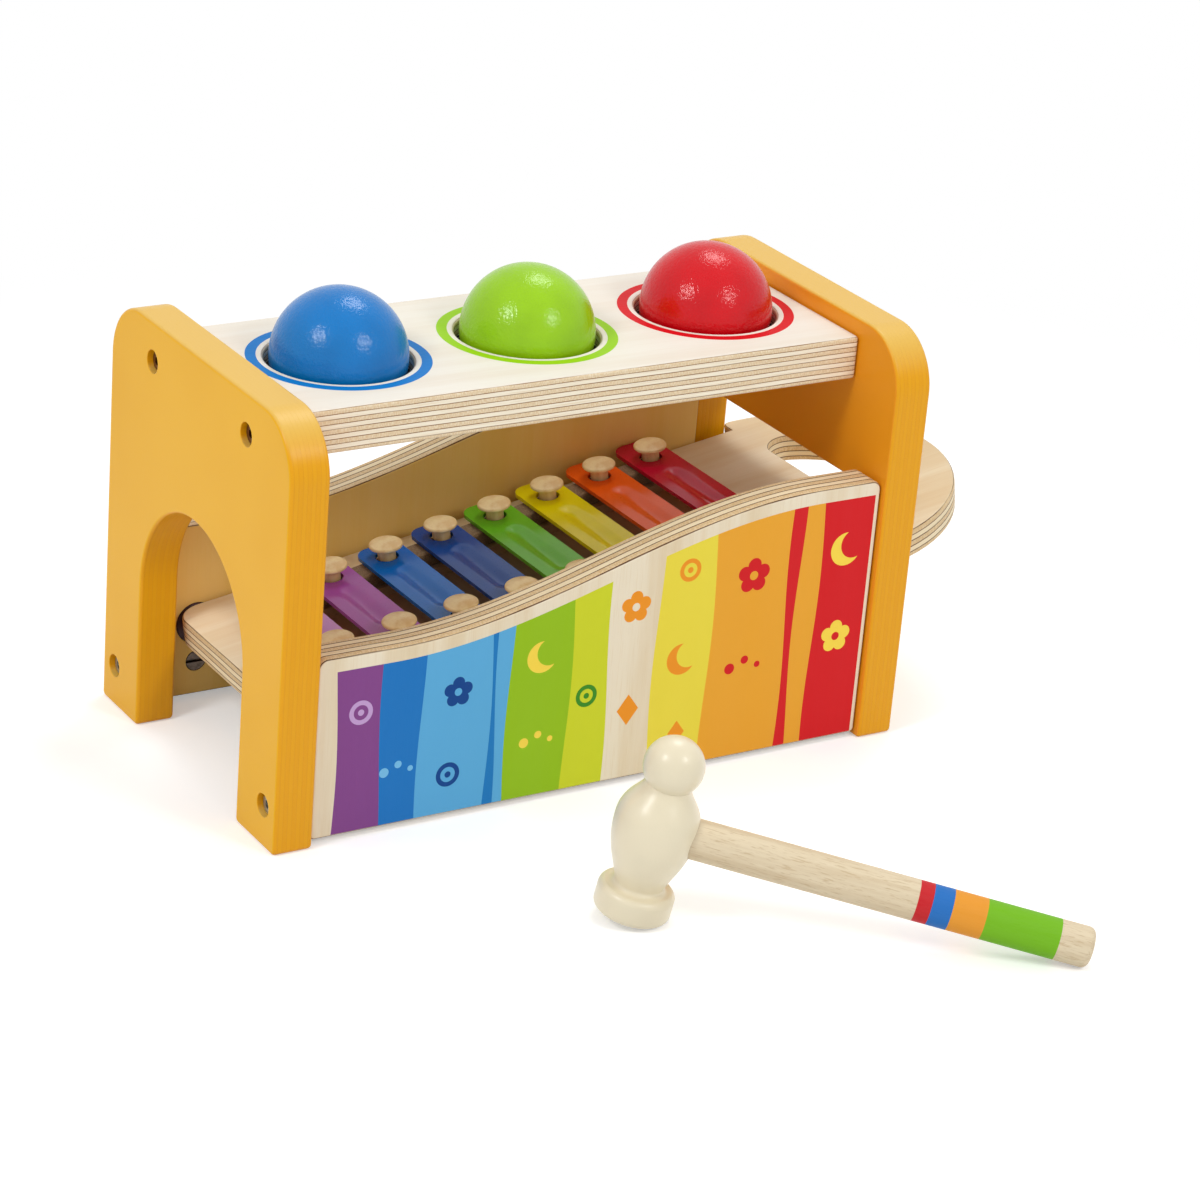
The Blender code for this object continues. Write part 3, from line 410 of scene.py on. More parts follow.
def sand(piece):
    """Keeps drilled edges crisp and shades the flat faces flat and the arrises round."""
    piece.data.set_sharp_from_angle(angle=ARRIS_ANGLE)
    step = piece.modifiers.new("even shading", "WEIGHTED_NORMAL")
    step.keep_sharp = True
    settle(piece)
    print(piece.name, "has", len(piece.data.polygons), "faces")


print("edges sharper than", round(math.degrees(ARRIS_ANGLE)), "degrees stay crisp")

# %% [markdown]
# ## Finishes in general
# Every finish is a small net of nodes on a Principled shader: a colour that varies, a roughness that
# varies, and a bump for the relief that a hand would feel. The patterns are made of noise stretched along
# the grain, in each piece's own axes, so they stay on a piece when it moves. Colours are written as a
# screen shows them, from 0 to 255.

# %% Small tools for finishes
def screen(red, green, blue):
    """A colour as a screen shows it, in the linear values that Blender works in."""
    def linear(level):
        share = level / 255
        return share / 12.92 if share <= 0.04045 else ((share + 0.055) / 1.055) ** 2.4
    return (linear(red), linear(green), linear(blue), 1.0)


def new_finish(name, coat=0.0, coat_roughness=0.1, metallic=0.0, sheen=0.0, specular=0.15):
    """A material, its node tree and the place on the piece. A clear lacquer is the shader's own coat."""
    material = bpy.data.materials.new(name)
    material.use_nodes = True
    shader = material.node_tree.nodes["Principled BSDF"].inputs
    shader["Coat Weight"].default_value = coat
    shader["Coat Roughness"].default_value = coat_roughness
    shader["Metallic"].default_value = metallic
    shader["Sheen Weight"].default_value = sheen
    shader["Specular IOR Level"].default_value = specular
    return material, material.node_tree, add(material.node_tree, "TexCoord", output="Object")


def mix(tree, share, low, high):
    return add(tree, "Mix", {0: share, 6: low, 7: high}, 2, data_type="RGBA")


def soft_step(tree, value, low, high, out_low=0.0, out_high=1.0):
    sockets = {"Value": value, "From Min": low, "From Max": high, "To Min": out_low, "To Max": out_high}
    return add(tree, "MapRange", sockets, interpolation_type="SMOOTHSTEP")


def streaks(tree, where, waves, detail=3.0):
    """Noise with a number of waves to the metre along each axis. Few waves make long streaks."""
    stretched = add(tree, "VectorMath", {0: where, 1: waves}, operation="MULTIPLY")
    return add(tree, "TexNoise", {"Vector": stretched, "Scale": 1.0, "Detail": detail, "Roughness": 0.6})


def axis_of(tree, where, axis):
    return add(tree, "SeparateXYZ", {0: where}, axis)


def facing(tree, axis=2):
    """How far a surface looks along one of its piece's own axes, from -1 to 1."""
    return axis_of(tree, add(tree, "TexCoord", output="Normal"), axis)


def connect(tree, colour, roughness, height, relief):
    """Joins colour, roughness and a bump, whose relief is in metres, to the shader and its clear coat."""
    shader = tree.nodes["Principled BSDF"].inputs
    bump = add(tree, "Bump", {"Height": height, "Distance": relief, "Strength": 1.0})
    joins = {"Base Color": colour, "Roughness": roughness, "Normal": bump, "Coat Normal": bump}
    for name, socket in joins.items():
        tree.links.new(socket, shader[name])


def step_over(tree, value, limit):
    return calc(tree, "GREATER_THAN", value, limit)


print("white is", screen(255, 255, 255)[0], "and middle grey", round(screen(128, 128, 128)[0], 3))

# %% [markdown]
# ## The edge of birch plywood
# The edges of the boards show their layers. Every second one is cut across its grain and looks darker and
# speckled, and thin dark lines of glue lie between them. An image could show this, but it would not know
# which way an edge runs. Here the height through the board picks the layer, and a slow noise lets the glue
# lines wander a little.

# %% Plywood edge
GLUE_SHARE = 0.13
GLUE_WAVES = (30.0, 30.0, 90.0)
GLUE_WANDER = 0.35
EDGE_STREAKS = (55.0, 55.0, 3800.0)
EDGE_SPECKS = (2600.0, 2600.0, 900.0)


def ply_edge(tree, where, bottom, thickness, layers, light, dark, glue):
    """Colour of a plywood edge, and how deep its glue lines lie."""
    wander = calc(tree, "MULTIPLY", streaks(tree, where, GLUE_WAVES, 2.0), thickness / layers * GLUE_WANDER)
    height = calc(tree, "SUBTRACT", axis_of(tree, where, 2), bottom)
    level = calc(tree, "MULTIPLY", calc(tree, "ADD", height, wander), layers / thickness)
    level = calc(tree, "ADD", level, layers)
    across = calc(tree, "MODULO", calc(tree, "FLOOR", level), 2.0)
    within = calc(tree, "FRACT", level)
    streak = streaks(tree, where, EDGE_STREAKS)
    specks = streaks(tree, where, EDGE_SPECKS, 1.0)
    along_wood = mix(tree, soft_step(tree, streak, 0.44, 0.70, 0.0, 0.5), light, dark)
    end_wood = mix(tree, soft_step(tree, specks, 0.40, 0.66, 0.0, 0.45), dark, light)
    wood = mix(tree, across, along_wood, end_wood)
    line = soft_step(tree, within, GLUE_SHARE, GLUE_SHARE * 1.6, 1.0, 0.0)
    line = calc(tree, "MULTIPLY", line, soft_step(tree, streak, 0.3, 0.55, 0.65, 1.0))
    return mix(tree, line, wood, glue), line


print("a glue line takes", GLUE_SHARE, "of a layer's thickness")

# %% [markdown]
# ## Birch plywood
# The faces are pale, with fine long fibres and a few broader bands, under a thin clear lacquer. The normal
# tells the shader where the face ends and the edge begins. A board can bring its own print or painted
# shade: these are small functions that change the colour before it reaches the shader.

# %% Plywood
EDGE_FROM = 0.93
EDGE_TO = 0.75
FACE_FIBRES = (70.0, 2600.0)
FACE_BANDS = (5.0, 70.0)
WOOD_RELIEF = 0.00004


def along_grain(waves, axis):
    """Waves to the metre for grain along one axis, from the numbers along the grain and across it."""
    return tuple(waves[0] if i == axis else waves[1] for i in range(3))


def ply_face(tree, where, grain, pale, warm):
    """Colour of a peeled birch face: fine fibres over broad, faint bands."""
    fibres = streaks(tree, where, along_grain(FACE_FIBRES, grain), 2.0)
    bands = streaks(tree, where, along_grain(FACE_BANDS, grain), 4.0)
    wood = mix(tree, soft_step(tree, bands, 0.36, 0.70, 0.0, 0.75), pale, warm)
    return mix(tree, soft_step(tree, fibres, 0.50, 0.78, 0.0, 0.40), wood, warm), fibres


def edge_share(tree):
    """1 on the edges of a board and 0 on its two faces."""
    level = calc(tree, "MULTIPLY", calc(tree, "ABSOLUTE", facing(tree)), -1.0)
    return soft_step(tree, level, -EDGE_FROM, -EDGE_TO)


def plywood(name, bottom, thickness, layers, tones, edge_tones, print_on=None, painted_shade_on=None, grain=0):
    """Lacquered plywood. print_on may print on its face, and painted shade may be laid over face and edge alike.
    """
    material, tree, where = new_finish(name, specular=0.12)
    face, fibres = ply_face(tree, where, grain, *tones)
    if print_on:
        face = print_on(tree, where, face)
    edge, line = ply_edge(tree, where, bottom, thickness, layers, *edge_tones)
    on_edge = edge_share(tree)
    colour = mix(tree, on_edge, face, edge)
    if painted_shade_on:
        colour = painted_shade_on(tree, where, colour)
    roughness = soft_step(tree, fibres, 0.2, 0.8, 0.42, 0.56)
    relief = calc(tree, "SUBTRACT", fibres, calc(tree, "MULTIPLY", line, on_edge))
    connect(tree, colour, roughness, relief, WOOD_RELIEF)
    return material


BIRCH = (screen(238, 226, 202), screen(222, 200, 162))
WARM_TONES = (screen(239, 224, 194), screen(224, 198, 155))
WHITE_BIRCH = (screen(236, 230, 218), screen(228, 216, 198))
BIRCH_EDGE = (screen(242, 226, 192), screen(214, 184, 138), screen(86, 50, 24))
THICK_EDGE = (screen(250, 242, 222), screen(226, 202, 164), screen(150, 112, 76))
print("a face has", FACE_FIBRES[1] / 1000, "fibres to the millimetre across the grain")

# %% [markdown]
# ## Satin amber paint
# Both end panels are sprayed with an amber, satin paint. On their edges the paint sinks into the layers of
# the plywood, so it looks a little more orange there, with faint lines. The edges that face upward are
# painted paler, as painted light from above, and the inner faces a deeper orange, as painted shade. Paint
# over a plain board would miss the layers, so this finish uses the plywood's edge again, with colours that
# are close to each other.

# %% Amber paint
AMBER = screen(237, 178, 8)
AMBER_DEEP = screen(233, 172, 4)
# Painted shade: a deeper orange for the inner faces of the end panels.
AMBER_PAINTED_SHADE = screen(236, 152, 24)
# Painted light: a paler amber for edges that face upward.
AMBER_PAINTED_TOP_LIGHT = screen(225, 182, 84)
AMBER_LAYERS = 9
AMBER_EDGE = (screen(232, 164, 8), screen(230, 160, 6), screen(227, 156, 4))
PAINTED_TOP_LIGHT_LEAN = (0.3, 0.95)
AMBER_CLOUDS = (14.0, 14.0, 14.0)
ORANGE_PEEL = (1500.0, 1500.0, 1500.0)
PAINT_RELIEF = 0.00003


def amber_paint(name, thickness, inward):
    """Amber paint. inward is 1 where the panel's inner face looks along its own +Z, and otherwise -1."""
    material, tree, where = new_finish(name, coat=0.45, coat_roughness=0.34, specular=0.04)
    clouds = streaks(tree, where, AMBER_CLOUDS, 2.0)
    face = mix(tree, soft_step(tree, clouds, 0.3, 0.7), AMBER, AMBER_DEEP)
    # The inner face is painted a deeper orange as painted shade.
    inside = step_over(tree, calc(tree, "MULTIPLY", facing(tree), inward), EDGE_TO)
    face = mix(tree, inside, face, AMBER_PAINTED_SHADE)
    edge, line = ply_edge(tree, where, 0.0, thickness, AMBER_LAYERS, *AMBER_EDGE)
    # Edges that face upward are painted paler as painted light from above.
    edge = mix(tree, soft_step(tree, facing(tree, 1), *PAINTED_TOP_LIGHT_LEAN), edge, AMBER_PAINTED_TOP_LIGHT)
    on_edge = edge_share(tree)
    peel = streaks(tree, where, ORANGE_PEEL, 1.0)
    relief = calc(tree, "SUBTRACT", peel, calc(tree, "MULTIPLY", line, on_edge))
    roughness = soft_step(tree, clouds, 0.2, 0.8, 0.34, 0.46)
    connect(tree, mix(tree, on_edge, face, edge), roughness, relief, PAINT_RELIEF)
    return material


print("the amber paint covers an edge of", AMBER_LAYERS, "layers")

# %% [markdown]
# ## End panels
# The left end has an arch on two legs, where the balls roll out. The right end has a wide door for the
# tray. Both are one outline each, drawn in the plane of the panel with +Z through its thickness. Every
# panel has four stepped holes: a recess for the head of a bolt or screw, and a narrower hole behind it.

# %% Sizes of the end panels
END_CORNER_RADIUS = 0.0198
END_ARRIS = 0.0012
FOOT_CORNER = 0.0018
ARCH_WIDTH = 0.0746
ARCH_HEIGHT = 0.089
DOOR_TOP = 0.089
DOOR_CORNER = 0.003
DOOR_SIDE_GAP = 0.0033
DOOR_SILL_DROP = 0.0008
RECESS_RADIUS = 0.0039
RECESS_DEPTH = 0.0042
SHANK_HOLE_RADIUS = 0.0023
RECESS_MOUTH = 0.0003
FIXING_SIDES = 48

ACROSS_BENCH = Matrix(((0, 0, 1, 0), (1, 0, 0, 0), (0, 1, 0, 0), (0, 0, 0, 1)))
left_low, left_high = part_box("left_end_panel")
end_size = left_high - left_low
amber = {side: amber_paint(f"satin amber paint, {side}", end_size.x, inward)
         for side, inward in (("left", 1.0), ("right", -1.0))}
print("an end panel measures", [round(s * 1000, 1) for s in end_size], "mm")

# %% [markdown]
# ## Cutting the end panels
# One function makes either panel, because only the outline and the door differ. Its holes are placed by
# the fixings that will sit in them, measured along the panel's own axes, so hole and head always meet.
# The arch belongs to the outline of the left end: its arrises are rounded with those of the rim.

# %% Left end panel
def stepped_hole(depth_through):
    """A recess and the hole behind it, cut from Z = 0 towards +Z. The mouth is broken by a small round."""
    mouth = [(RECESS_RADIUS + across, inward) for inward, across in quarter(RECESS_MOUTH)]
    return turned([
        (0, -OVERRUN), (RECESS_RADIUS + RECESS_MOUTH, -OVERRUN), *mouth, (RECESS_RADIUS, RECESS_DEPTH),
        (SHANK_HOLE_RADIUS, RECESS_DEPTH), (SHANK_HOLE_RADIUS, depth_through), (0, depth_through),
    ], FIXING_SIDES)


def end_panel(side, outline, door=None):
    """One amber end: its outline, a door where it has one, and the four stepped holes."""
    node = f"{side}_end_panel"
    place = Matrix.Translation(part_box(node)[0]) @ ACROSS_BENCH
    panel = new_piece(f"amber_{side}_end", slab(outline, 0, end_size.x, END_ARRIS), place, amber[side])
    if door:
        cut(panel, opening(door, 0, end_size.x, END_ARRIS), place)
    outward = Matrix() if side == "left" else Matrix.Rotation(math.pi, 4, "X")
    face = 0 if side == "left" else end_size.x
    for height in ("bolt", "screw"):
        for row in ("front", "rear"):
            spot = middle(*local_box(f"{side}_{row}_{height}", place))
            hole_place = place @ Matrix.Translation((spot.x, spot.y, face)) @ outward
            cut(panel, stepped_hole(end_size.x + OVERRUN), hole_place)
    sand(panel)
    stand_in(panel, node)


leg = (end_size.y - ARCH_WIDTH) / 2
upper_corners = [(end_size.y, end_size.z, END_CORNER_RADIUS), (0, end_size.z, END_CORNER_RADIUS)]
feet = [(0, 0, FOOT_CORNER), (end_size.y, 0, FOOT_CORNER)]
arch = [
    (leg, 0, FOOT_CORNER), (leg, ARCH_HEIGHT, ARCH_WIDTH / 2),
    (end_size.y - leg, ARCH_HEIGHT, ARCH_WIDTH / 2), (end_size.y - leg, 0, FOOT_CORNER),
]
end_panel("left", rounded_outline(feet[:1] + arch + feet[1:] + upper_corners))
print("the arch is", ARCH_WIDTH * 1000, "mm wide")

# %% [markdown]
# ## The door in the right end
# The tray slides out through the right end, so the door is as wide as the tray and a little play, and its
# sill lies just under the tray where the tray passes it. Both are worked out from the tray and its slope,
# as a maker marks a door from the drawer that has to fit it.

# %% Right end panel
TRAY_SIDE_GAP = 0.0007
front_low, front_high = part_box("front_panel")
back_low, back_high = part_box("back_panel")
tray_half = (back_low.y - front_high.y) / 2 - TRAY_SIDE_GAP
tray_thickness = tray_high.z - tray_low.z
tray_start = bench_place.inverted() @ tray_place.translation
inner_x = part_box("right_end_panel")[0].x - bench_corner.x
under_tray = tray_start.z + (inner_x - tray_start.x) * math.tan(slope)
sill = under_tray - tray_thickness / math.cos(slope) - DOOR_SILL_DROP
door_half = tray_half + DOOR_SIDE_GAP
bench_middle = end_size.y / 2
door_outline = rectangle(bench_middle - door_half, sill, bench_middle + door_half, DOOR_TOP, DOOR_CORNER)
end_panel("right", rounded_outline(feet + upper_corners), door_outline)
print("the door is", round(door_half * 2000, 1), "mm wide and its sill", round(sill * 1000, 1), "mm high")

# %% [markdown]
# ## The printed pattern
# The long panels are printed with a row of coloured bands, with bare wood between some of them, and small
# cheerful motifs. A picture could be mapped on, but bands and simple shapes are cheap as nodes and stay
# sharp from near. Each band starts where a slightly swaying line is passed. The motifs are generic ones
# of this design: rings, dots, moons, flowers and diamonds, all made of distances to a point.

# %% Band colours and their places
PRINT_MARGIN = 0.0049
PRINT_END_MARGIN = 0.0019
SWAY = 0.0009
SWAY_WAVES = 62.0
BANDS = [
    (0.0213, screen(130, 66, 138)), (0.0377, screen(0, 116, 194)), (0.0520, screen(88, 172, 222)),
    (0.0768, screen(0, 120, 192)), (0.0794, screen(88, 172, 222)), (0.0841, screen(148, 192, 10)),
    (0.1064, screen(206, 214, 34)), (0.1210, None), (0.1392, screen(236, 218, 66)),
    (0.1600, screen(236, 166, 44)), (0.1899, screen(214, 0, 22)), (0.1940, screen(236, 166, 44)),
    (0.2018, screen(214, 0, 22)),
]
NAVY, SKY, SUN = screen(22, 70, 140), screen(120, 190, 232), screen(250, 218, 80)
LILAC, TANGERINE, LEAF = screen(196, 160, 210), screen(240, 150, 40), screen(60, 140, 40)
CHERRY = screen(212, 30, 36)
MOTIFS = [
    ("ring", 0.0300, 0.0440, 0.0042, LILAC), ("dots", 0.0445, 0.0210, 0.0050, SKY),
    ("flower", 0.0650, 0.0450, 0.0052, NAVY), ("ring", 0.0630, 0.0160, 0.0043, NAVY),
    ("moon", 0.0955, 0.0520, 0.0056, SUN), ("dots", 0.0960, 0.0220, 0.0052, SUN),
    ("ring", 0.1135, 0.0350, 0.0040, LEAF), ("flower", 0.1300, 0.0640, 0.0056, TANGERINE),
    ("diamond", 0.1300, 0.0270, 0.0056, TANGERINE), ("ring", 0.1500, 0.0740, 0.0041, TANGERINE),
    ("moon", 0.1495, 0.0420, 0.0056, TANGERINE), ("diamond", 0.1500, 0.0150, 0.0044, TANGERINE),
    ("flower", 0.1755, 0.0680, 0.0062, CHERRY), ("dots", 0.1750, 0.0350, 0.0058, CHERRY),
    ("moon", 0.2120, 0.0720, 0.0060, SUN), ("flower", 0.2115, 0.0400, 0.0058, SUN),
]
print("the print has", len(BANDS), "bands and", len(MOTIFS), "motifs")

# %% [markdown]
# ## Motifs as distances
# A disc is every point nearer to its centre than its radius. The other motifs are made of discs: a ring is
# a disc without a smaller one, a moon is a disc with a bite taken out of it, and a flower is five discs in
# a circle. Only the diamond adds up the steps sideways and upwards instead.

# %% Motifs
RING_SHARE = 0.62
PETALS = 5
PETAL_SHARE = 0.42
PETAL_REACH = 0.6
HEART_SHARE = 0.26
BITE_SHARE = 0.86
DIAMOND_LEAN = (1.35, 1.0, 0.0)
DOTS = ((-1.0, 0.0, 0.34), (0.0, PETAL_SHARE, 0.26), (0.9, 0.0, 0.20))


def flat_spot(tree, x, y):
    return add(tree, "CombineXYZ", {0: x, 1: y})


def disc(tree, spot, x, y, radius):
    """1 inside a circle on the panel's face."""
    away = add(tree, "VectorMath", {0: spot, 1: (x, y, 0.0)}, "Value", operation="DISTANCE")
    return calc(tree, "LESS_THAN", away, radius)


def without(tree, kept, removed):
    return calc(tree, "SUBTRACT", kept, removed, clamp=True)


def motif(tree, spot, kind, x, y, radius):
    """1 inside a motif of some kind and size round a point on the panel's face."""
    if kind == "ring":
        outer = without(tree, disc(tree, spot, x, y, radius), disc(tree, spot, x, y, radius * RING_SHARE))
        return calc(tree, "MAXIMUM", outer, disc(tree, spot, x, y, radius * HEART_SHARE))
    if kind == "moon":
        bite = disc(tree, spot, x + radius * HEART_SHARE * 2, y + radius * HEART_SHARE, radius * BITE_SHARE)
        return without(tree, disc(tree, spot, x, y, radius), bite)
    if kind == "diamond":
        away = add(tree, "VectorMath", {0: spot, 1: (x, y, 0.0)}, operation="SUBTRACT")
        away = add(tree, "VectorMath", {0: away}, operation="ABSOLUTE")
        reach = add(tree, "VectorMath", {0: away, 1: DIAMOND_LEAN}, "Value", operation="DOT_PRODUCT")
        return calc(tree, "LESS_THAN", reach, radius)
    parts = DOTS
    if kind == "flower":
        turns = [math.tau * (i + 0.25) / PETALS for i in range(PETALS)]
        parts = [(PETAL_REACH * math.cos(t), PETAL_REACH * math.sin(t), PETAL_SHARE) for t in turns]
    shape = 0.0
    for over, up, share in parts:
        part = disc(tree, spot, x + radius * over, y + radius * up, radius * share)
        shape = calc(tree, "MAXIMUM", shape, part)
    if kind == "flower":
        shape = without(tree, shape, disc(tree, spot, x, y, radius * HEART_SHARE))
    return shape


print("a flower has", PETALS, "petals")

# %% [markdown]
# ## Printing on a long panel
# The bands are laid over each other from left to right, and each one covers what is right of its line. The
# print stops a little below the wave, at a curve of the same half cosine. Only the outer face is printed:
# the normal tells it from the inner one, which gets a warm honey tint as painted shade.

# %% Printing
PANEL_LOW = 0.0645
PANEL_HIGH = 0.095
WAVE_START_SHARE = 0.124
WAVE_END_SHARE = 0.895
INK_COVER = 0.98
SWAY_SHIFT = 1.9
# Painted shade: a warm honey tint for the inner faces of the long panels.
PAINTED_SHADE_HONEY = screen(250, 202, 80)
PAINTED_SHADE_SHARE = 0.75

panel_size = front_high - front_low
panel_left = front_low.x - bench_corner.x
wave_start = panel_size.x * WAVE_START_SHARE
wave_end = panel_size.x * WAVE_END_SHARE


def print_bands(outward):
    """Returns the printing for the face whose normal runs along the panel's own +Z or -Z."""
    def paint_on(tree, where, wood):
        x, y = axis_of(tree, where, 0), axis_of(tree, where, 1)
        phase = calc(tree, "MULTIPLY", y, SWAY_WAVES)
        bare, ink = wood, wood
        for index, (start, colour) in enumerate(BANDS):
            swing = calc(tree, "SINE", calc(tree, "ADD", phase, index * SWAY_SHIFT))
            line = calc(tree, "ADD", calc(tree, "MULTIPLY", swing, SWAY), start - panel_left)
            inked = bare if colour is None else mix(tree, INK_COVER, bare, colour)
            ink = mix(tree, step_over(tree, x, line), ink, inked)
        spot = flat_spot(tree, x, y)
        for kind, along, up, radius, colour in MOTIFS:
            ink = mix(tree, motif(tree, spot, kind, along - panel_left, up, radius), ink, colour)
        ends = {"Value": x, "From Min": wave_start, "From Max": wave_end, "To Max": math.pi}
        wave = calc(tree, "COSINE", add(tree, "MapRange", ends))
        wave = calc(tree, "MULTIPLY", wave, (PANEL_LOW - PANEL_HIGH) / 2)
        crest = calc(tree, "ADD", wave, (PANEL_LOW + PANEL_HIGH) / 2 - PRINT_MARGIN)
        shown = calc(tree, "LESS_THAN", y, crest)
        shown = calc(tree, "MULTIPLY", shown, calc(tree, "LESS_THAN", x, panel_size.x - PRINT_END_MARGIN))
        out = calc(tree, "MULTIPLY", facing(tree), outward)
        # The inner face gets a warm honey tint as painted shade.
        wood = mix(tree, calc(tree, "LESS_THAN", out, 0.0), wood, mix(tree, PAINTED_SHADE_SHARE, wood, PAINTED_SHADE_HONEY))
        shown = calc(tree, "MULTIPLY", shown, step_over(tree, out, EDGE_FROM))
        return mix(tree, shown, wood, ink)
    return paint_on


print("the wave runs from", round(wave_start, 4), "to", round(wave_end, 4), "m along a panel")

# %% [markdown]
# ## Front and back panels
# Both long panels have the same wave along their top edge, low at the arch and high at the door, so that a
# child sees the tray. The wave is half a cosine. Bolts run into their ends, each into a round nut that is
# let in from the inner face, and dark pegs on the inner face carry and hold the tray. All these have bores
# of their own here, because their ends lie level with the face.

# %% Bores
SEAT_GAP = 0.0003
BORE_SIDES = 32
ALONG = {
    "x": Matrix.Rotation(math.pi / 2, 4, "Y"),
    "y": Matrix.Rotation(-math.pi / 2, 4, "X"),
    "z": Matrix(),
}


def bore(piece, node, axis, radius=None, frame_of=bench_place):
    """Drills the hole that a round node sits in, with the seat's gap all round."""
    low, high = local_box(node, frame_of)
    index = "xyz".index(axis)
    length = high[index] - low[index] + 2 * SEAT_GAP
    reach = radius or max((high - low)[i] for i in range(3) if i != index) / 2 + SEAT_GAP
    start = middle(low, high)
    start[index] = low[index] - SEAT_GAP
    cut(piece, rod(reach, 0, length, BORE_SIDES), frame_of @ Matrix.Translation(start) @ ALONG[axis])


print("a bore is", SEAT_GAP * 1000, "mm wider all round than what sits in it")

# %% [markdown]
# ## Making both long panels
# The wave is drawn with short straight steps. Each panel lies on its back while it is made, with +Z
# through its thickness, and is then stood up on its long edge. A small gap keeps it off the floor, because
# the end panels are the feet.

# %% Both long panels
PANEL_ARRIS = 0.0010
PANEL_FOOT = 0.0016
PANEL_CORNER = 0.0035
PANEL_FLOOR_GAP = 0.0018
WAVE_POINTS = 48
PANEL_LAYERS = 5
LONG_BENCH = Matrix.Rotation(math.pi / 2, 4, "X")
LET_IN = ("stop_peg", "left_support_peg", "right_support_peg", "left_nut", "right_nut")


def wave_outline():
    """Outline of a long panel, with its low end, its wave and its high end along the top."""
    corners = [
        (0, PANEL_FLOOR_GAP, PANEL_FOOT), (panel_size.x, PANEL_FLOOR_GAP, PANEL_FOOT),
        (panel_size.x, PANEL_HIGH, PANEL_CORNER),
    ]
    for i in range(WAVE_POINTS + 1):
        share = 1 - i / WAVE_POINTS
        rise = (1 - math.cos(math.pi * share)) / 2
        height = PANEL_LOW + (PANEL_HIGH - PANEL_LOW) * rise
        corners.append((wave_start + (wave_end - wave_start) * share, height, 0))
    return rounded_outline(corners + [(0, PANEL_LOW, PANEL_CORNER)])


def long_panel(side, rear_face, outward):
    """A printed panel, bored for its pegs, nuts and bolts."""
    node = f"{side}_panel"
    place = bench_place @ Matrix.Translation((panel_left, rear_face - bench_corner.y, 0)) @ LONG_BENCH
    finish = plywood(f"printed {side} plywood", 0.0, panel_size.y, PANEL_LAYERS,
                     BIRCH, BIRCH_EDGE, print_bands(outward), grain=1)
    panel = new_piece(f"printed_{side}", slab(wave_outline(), 0, panel_size.y, PANEL_ARRIS), place, finish)
    for fitting in LET_IN:
        bore(panel, f"{node}_{fitting}", "y")
    row = "front" if side == "front" else "rear"
    for end in ("left", "right"):
        bore(panel, f"{end}_{row}_bolt", "x", SHANK_HOLE_RADIUS)
    sand(panel)
    stand_in(panel, node)


long_panel("front", front_high.y, 1.0)
long_panel("back", back_high.y, -1.0)
print("the panels rise from", PANEL_LOW * 1000, "to", PANEL_HIGH * 1000, "mm")

# %% [markdown]
# ## The top board
# The thick board at the top holds the balls. Its edge shows many layers, and round each hole a ring is
# printed in the ball's own colour. The holes are turned cutters with a rounded mouth and a groove inside,
# where a rubber ring grips the ball. Modelling the groove, and not a plain hole, lets the ring sit in it.

# %% Board with three holes
BOARD_ARRIS = 0.0009
BOARD_CORNER = 0.0012
BOARD_LAYERS = 9
HOLE_RADIUS = 0.0242
HOLE_MOUTH = 0.0011
MOUTH_STEP = math.radians(18)
RING_DEPTH = 0.0062
RING_THICKNESS = 0.0032
RING_GROOVE = 0.0016
PRINT_RING = (0.0265, 0.0300)
HOLE_SIDES = 96
BALLS = {"blue": screen(0, 118, 194), "green": screen(152, 204, 12), "red": screen(212, 0, 18)}

board_low, board_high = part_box("top_board")
board_size = board_high - board_low
board_origin = Vector((board_low.x, middle(board_low, board_high).y, board_high.z))
board_place = Matrix.Translation(board_origin)
ball_middle = {colour: middle(*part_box(f"{colour}_ball")) for colour in BALLS}


def print_rings(tree, where, wood):
    """A ring of each ball's colour round its hole, on the upper face only."""
    up = step_over(tree, facing(tree), EDGE_FROM)
    spot = flat_spot(tree, axis_of(tree, where, 0), axis_of(tree, where, 1))
    for colour, centre in ball_middle.items():
        x = centre.x - board_origin.x
        inner, outer = (disc(tree, spot, x, 0.0, radius) for radius in PRINT_RING)
        ring = without(tree, outer, inner)
        wood = mix(tree, calc(tree, "MULTIPLY", ring, up), wood, BALLS[colour])
    return wood


half = board_size.y / 2
board_paint = plywood("printed top plywood", -board_size.z, board_size.z, BOARD_LAYERS,
                      WHITE_BIRCH, THICK_EDGE, print_rings)
board_outline = rectangle(0, -half, board_size.x, half, BOARD_CORNER)
board_slab = slab(board_outline, -board_size.z, 0, BOARD_ARRIS)
board = new_piece("drilled_board", board_slab, board_place, board_paint)
mouth_middle = (HOLE_RADIUS + HOLE_MOUTH, -HOLE_MOUTH)
mouth = lathe_arc(mouth_middle, HOLE_MOUTH, math.pi / 2, math.pi, MOUTH_STEP)
groove = HOLE_RADIUS + RING_GROOVE + SEAT_GAP
groove_top = -RING_DEPTH + SEAT_GAP
groove_floor = -RING_DEPTH - RING_THICKNESS - SEAT_GAP
hole_end = -board_size.z - OVERRUN
hole_profile = [
    (0, OVERRUN), (HOLE_RADIUS + HOLE_MOUTH, OVERRUN), *mouth,
    (HOLE_RADIUS, groove_top), (groove, groove_top), (groove, groove_floor), (HOLE_RADIUS, groove_floor),
    (HOLE_RADIUS, hole_end), (0, hole_end),
]
for centre in ball_middle.values():
    cut(board, turned(hole_profile, HOLE_SIDES), Matrix.Translation((centre.x, centre.y, board_high.z)))
for end in ("left", "right"):
    for row in ("front", "rear"):
        bore(board, f"{end}_{row}_screw", "x", SHANK_HOLE_RADIUS)
sand(board)
stand_in(board, "top_board")
print("its holes measure", HOLE_RADIUS * 2000, "mm")

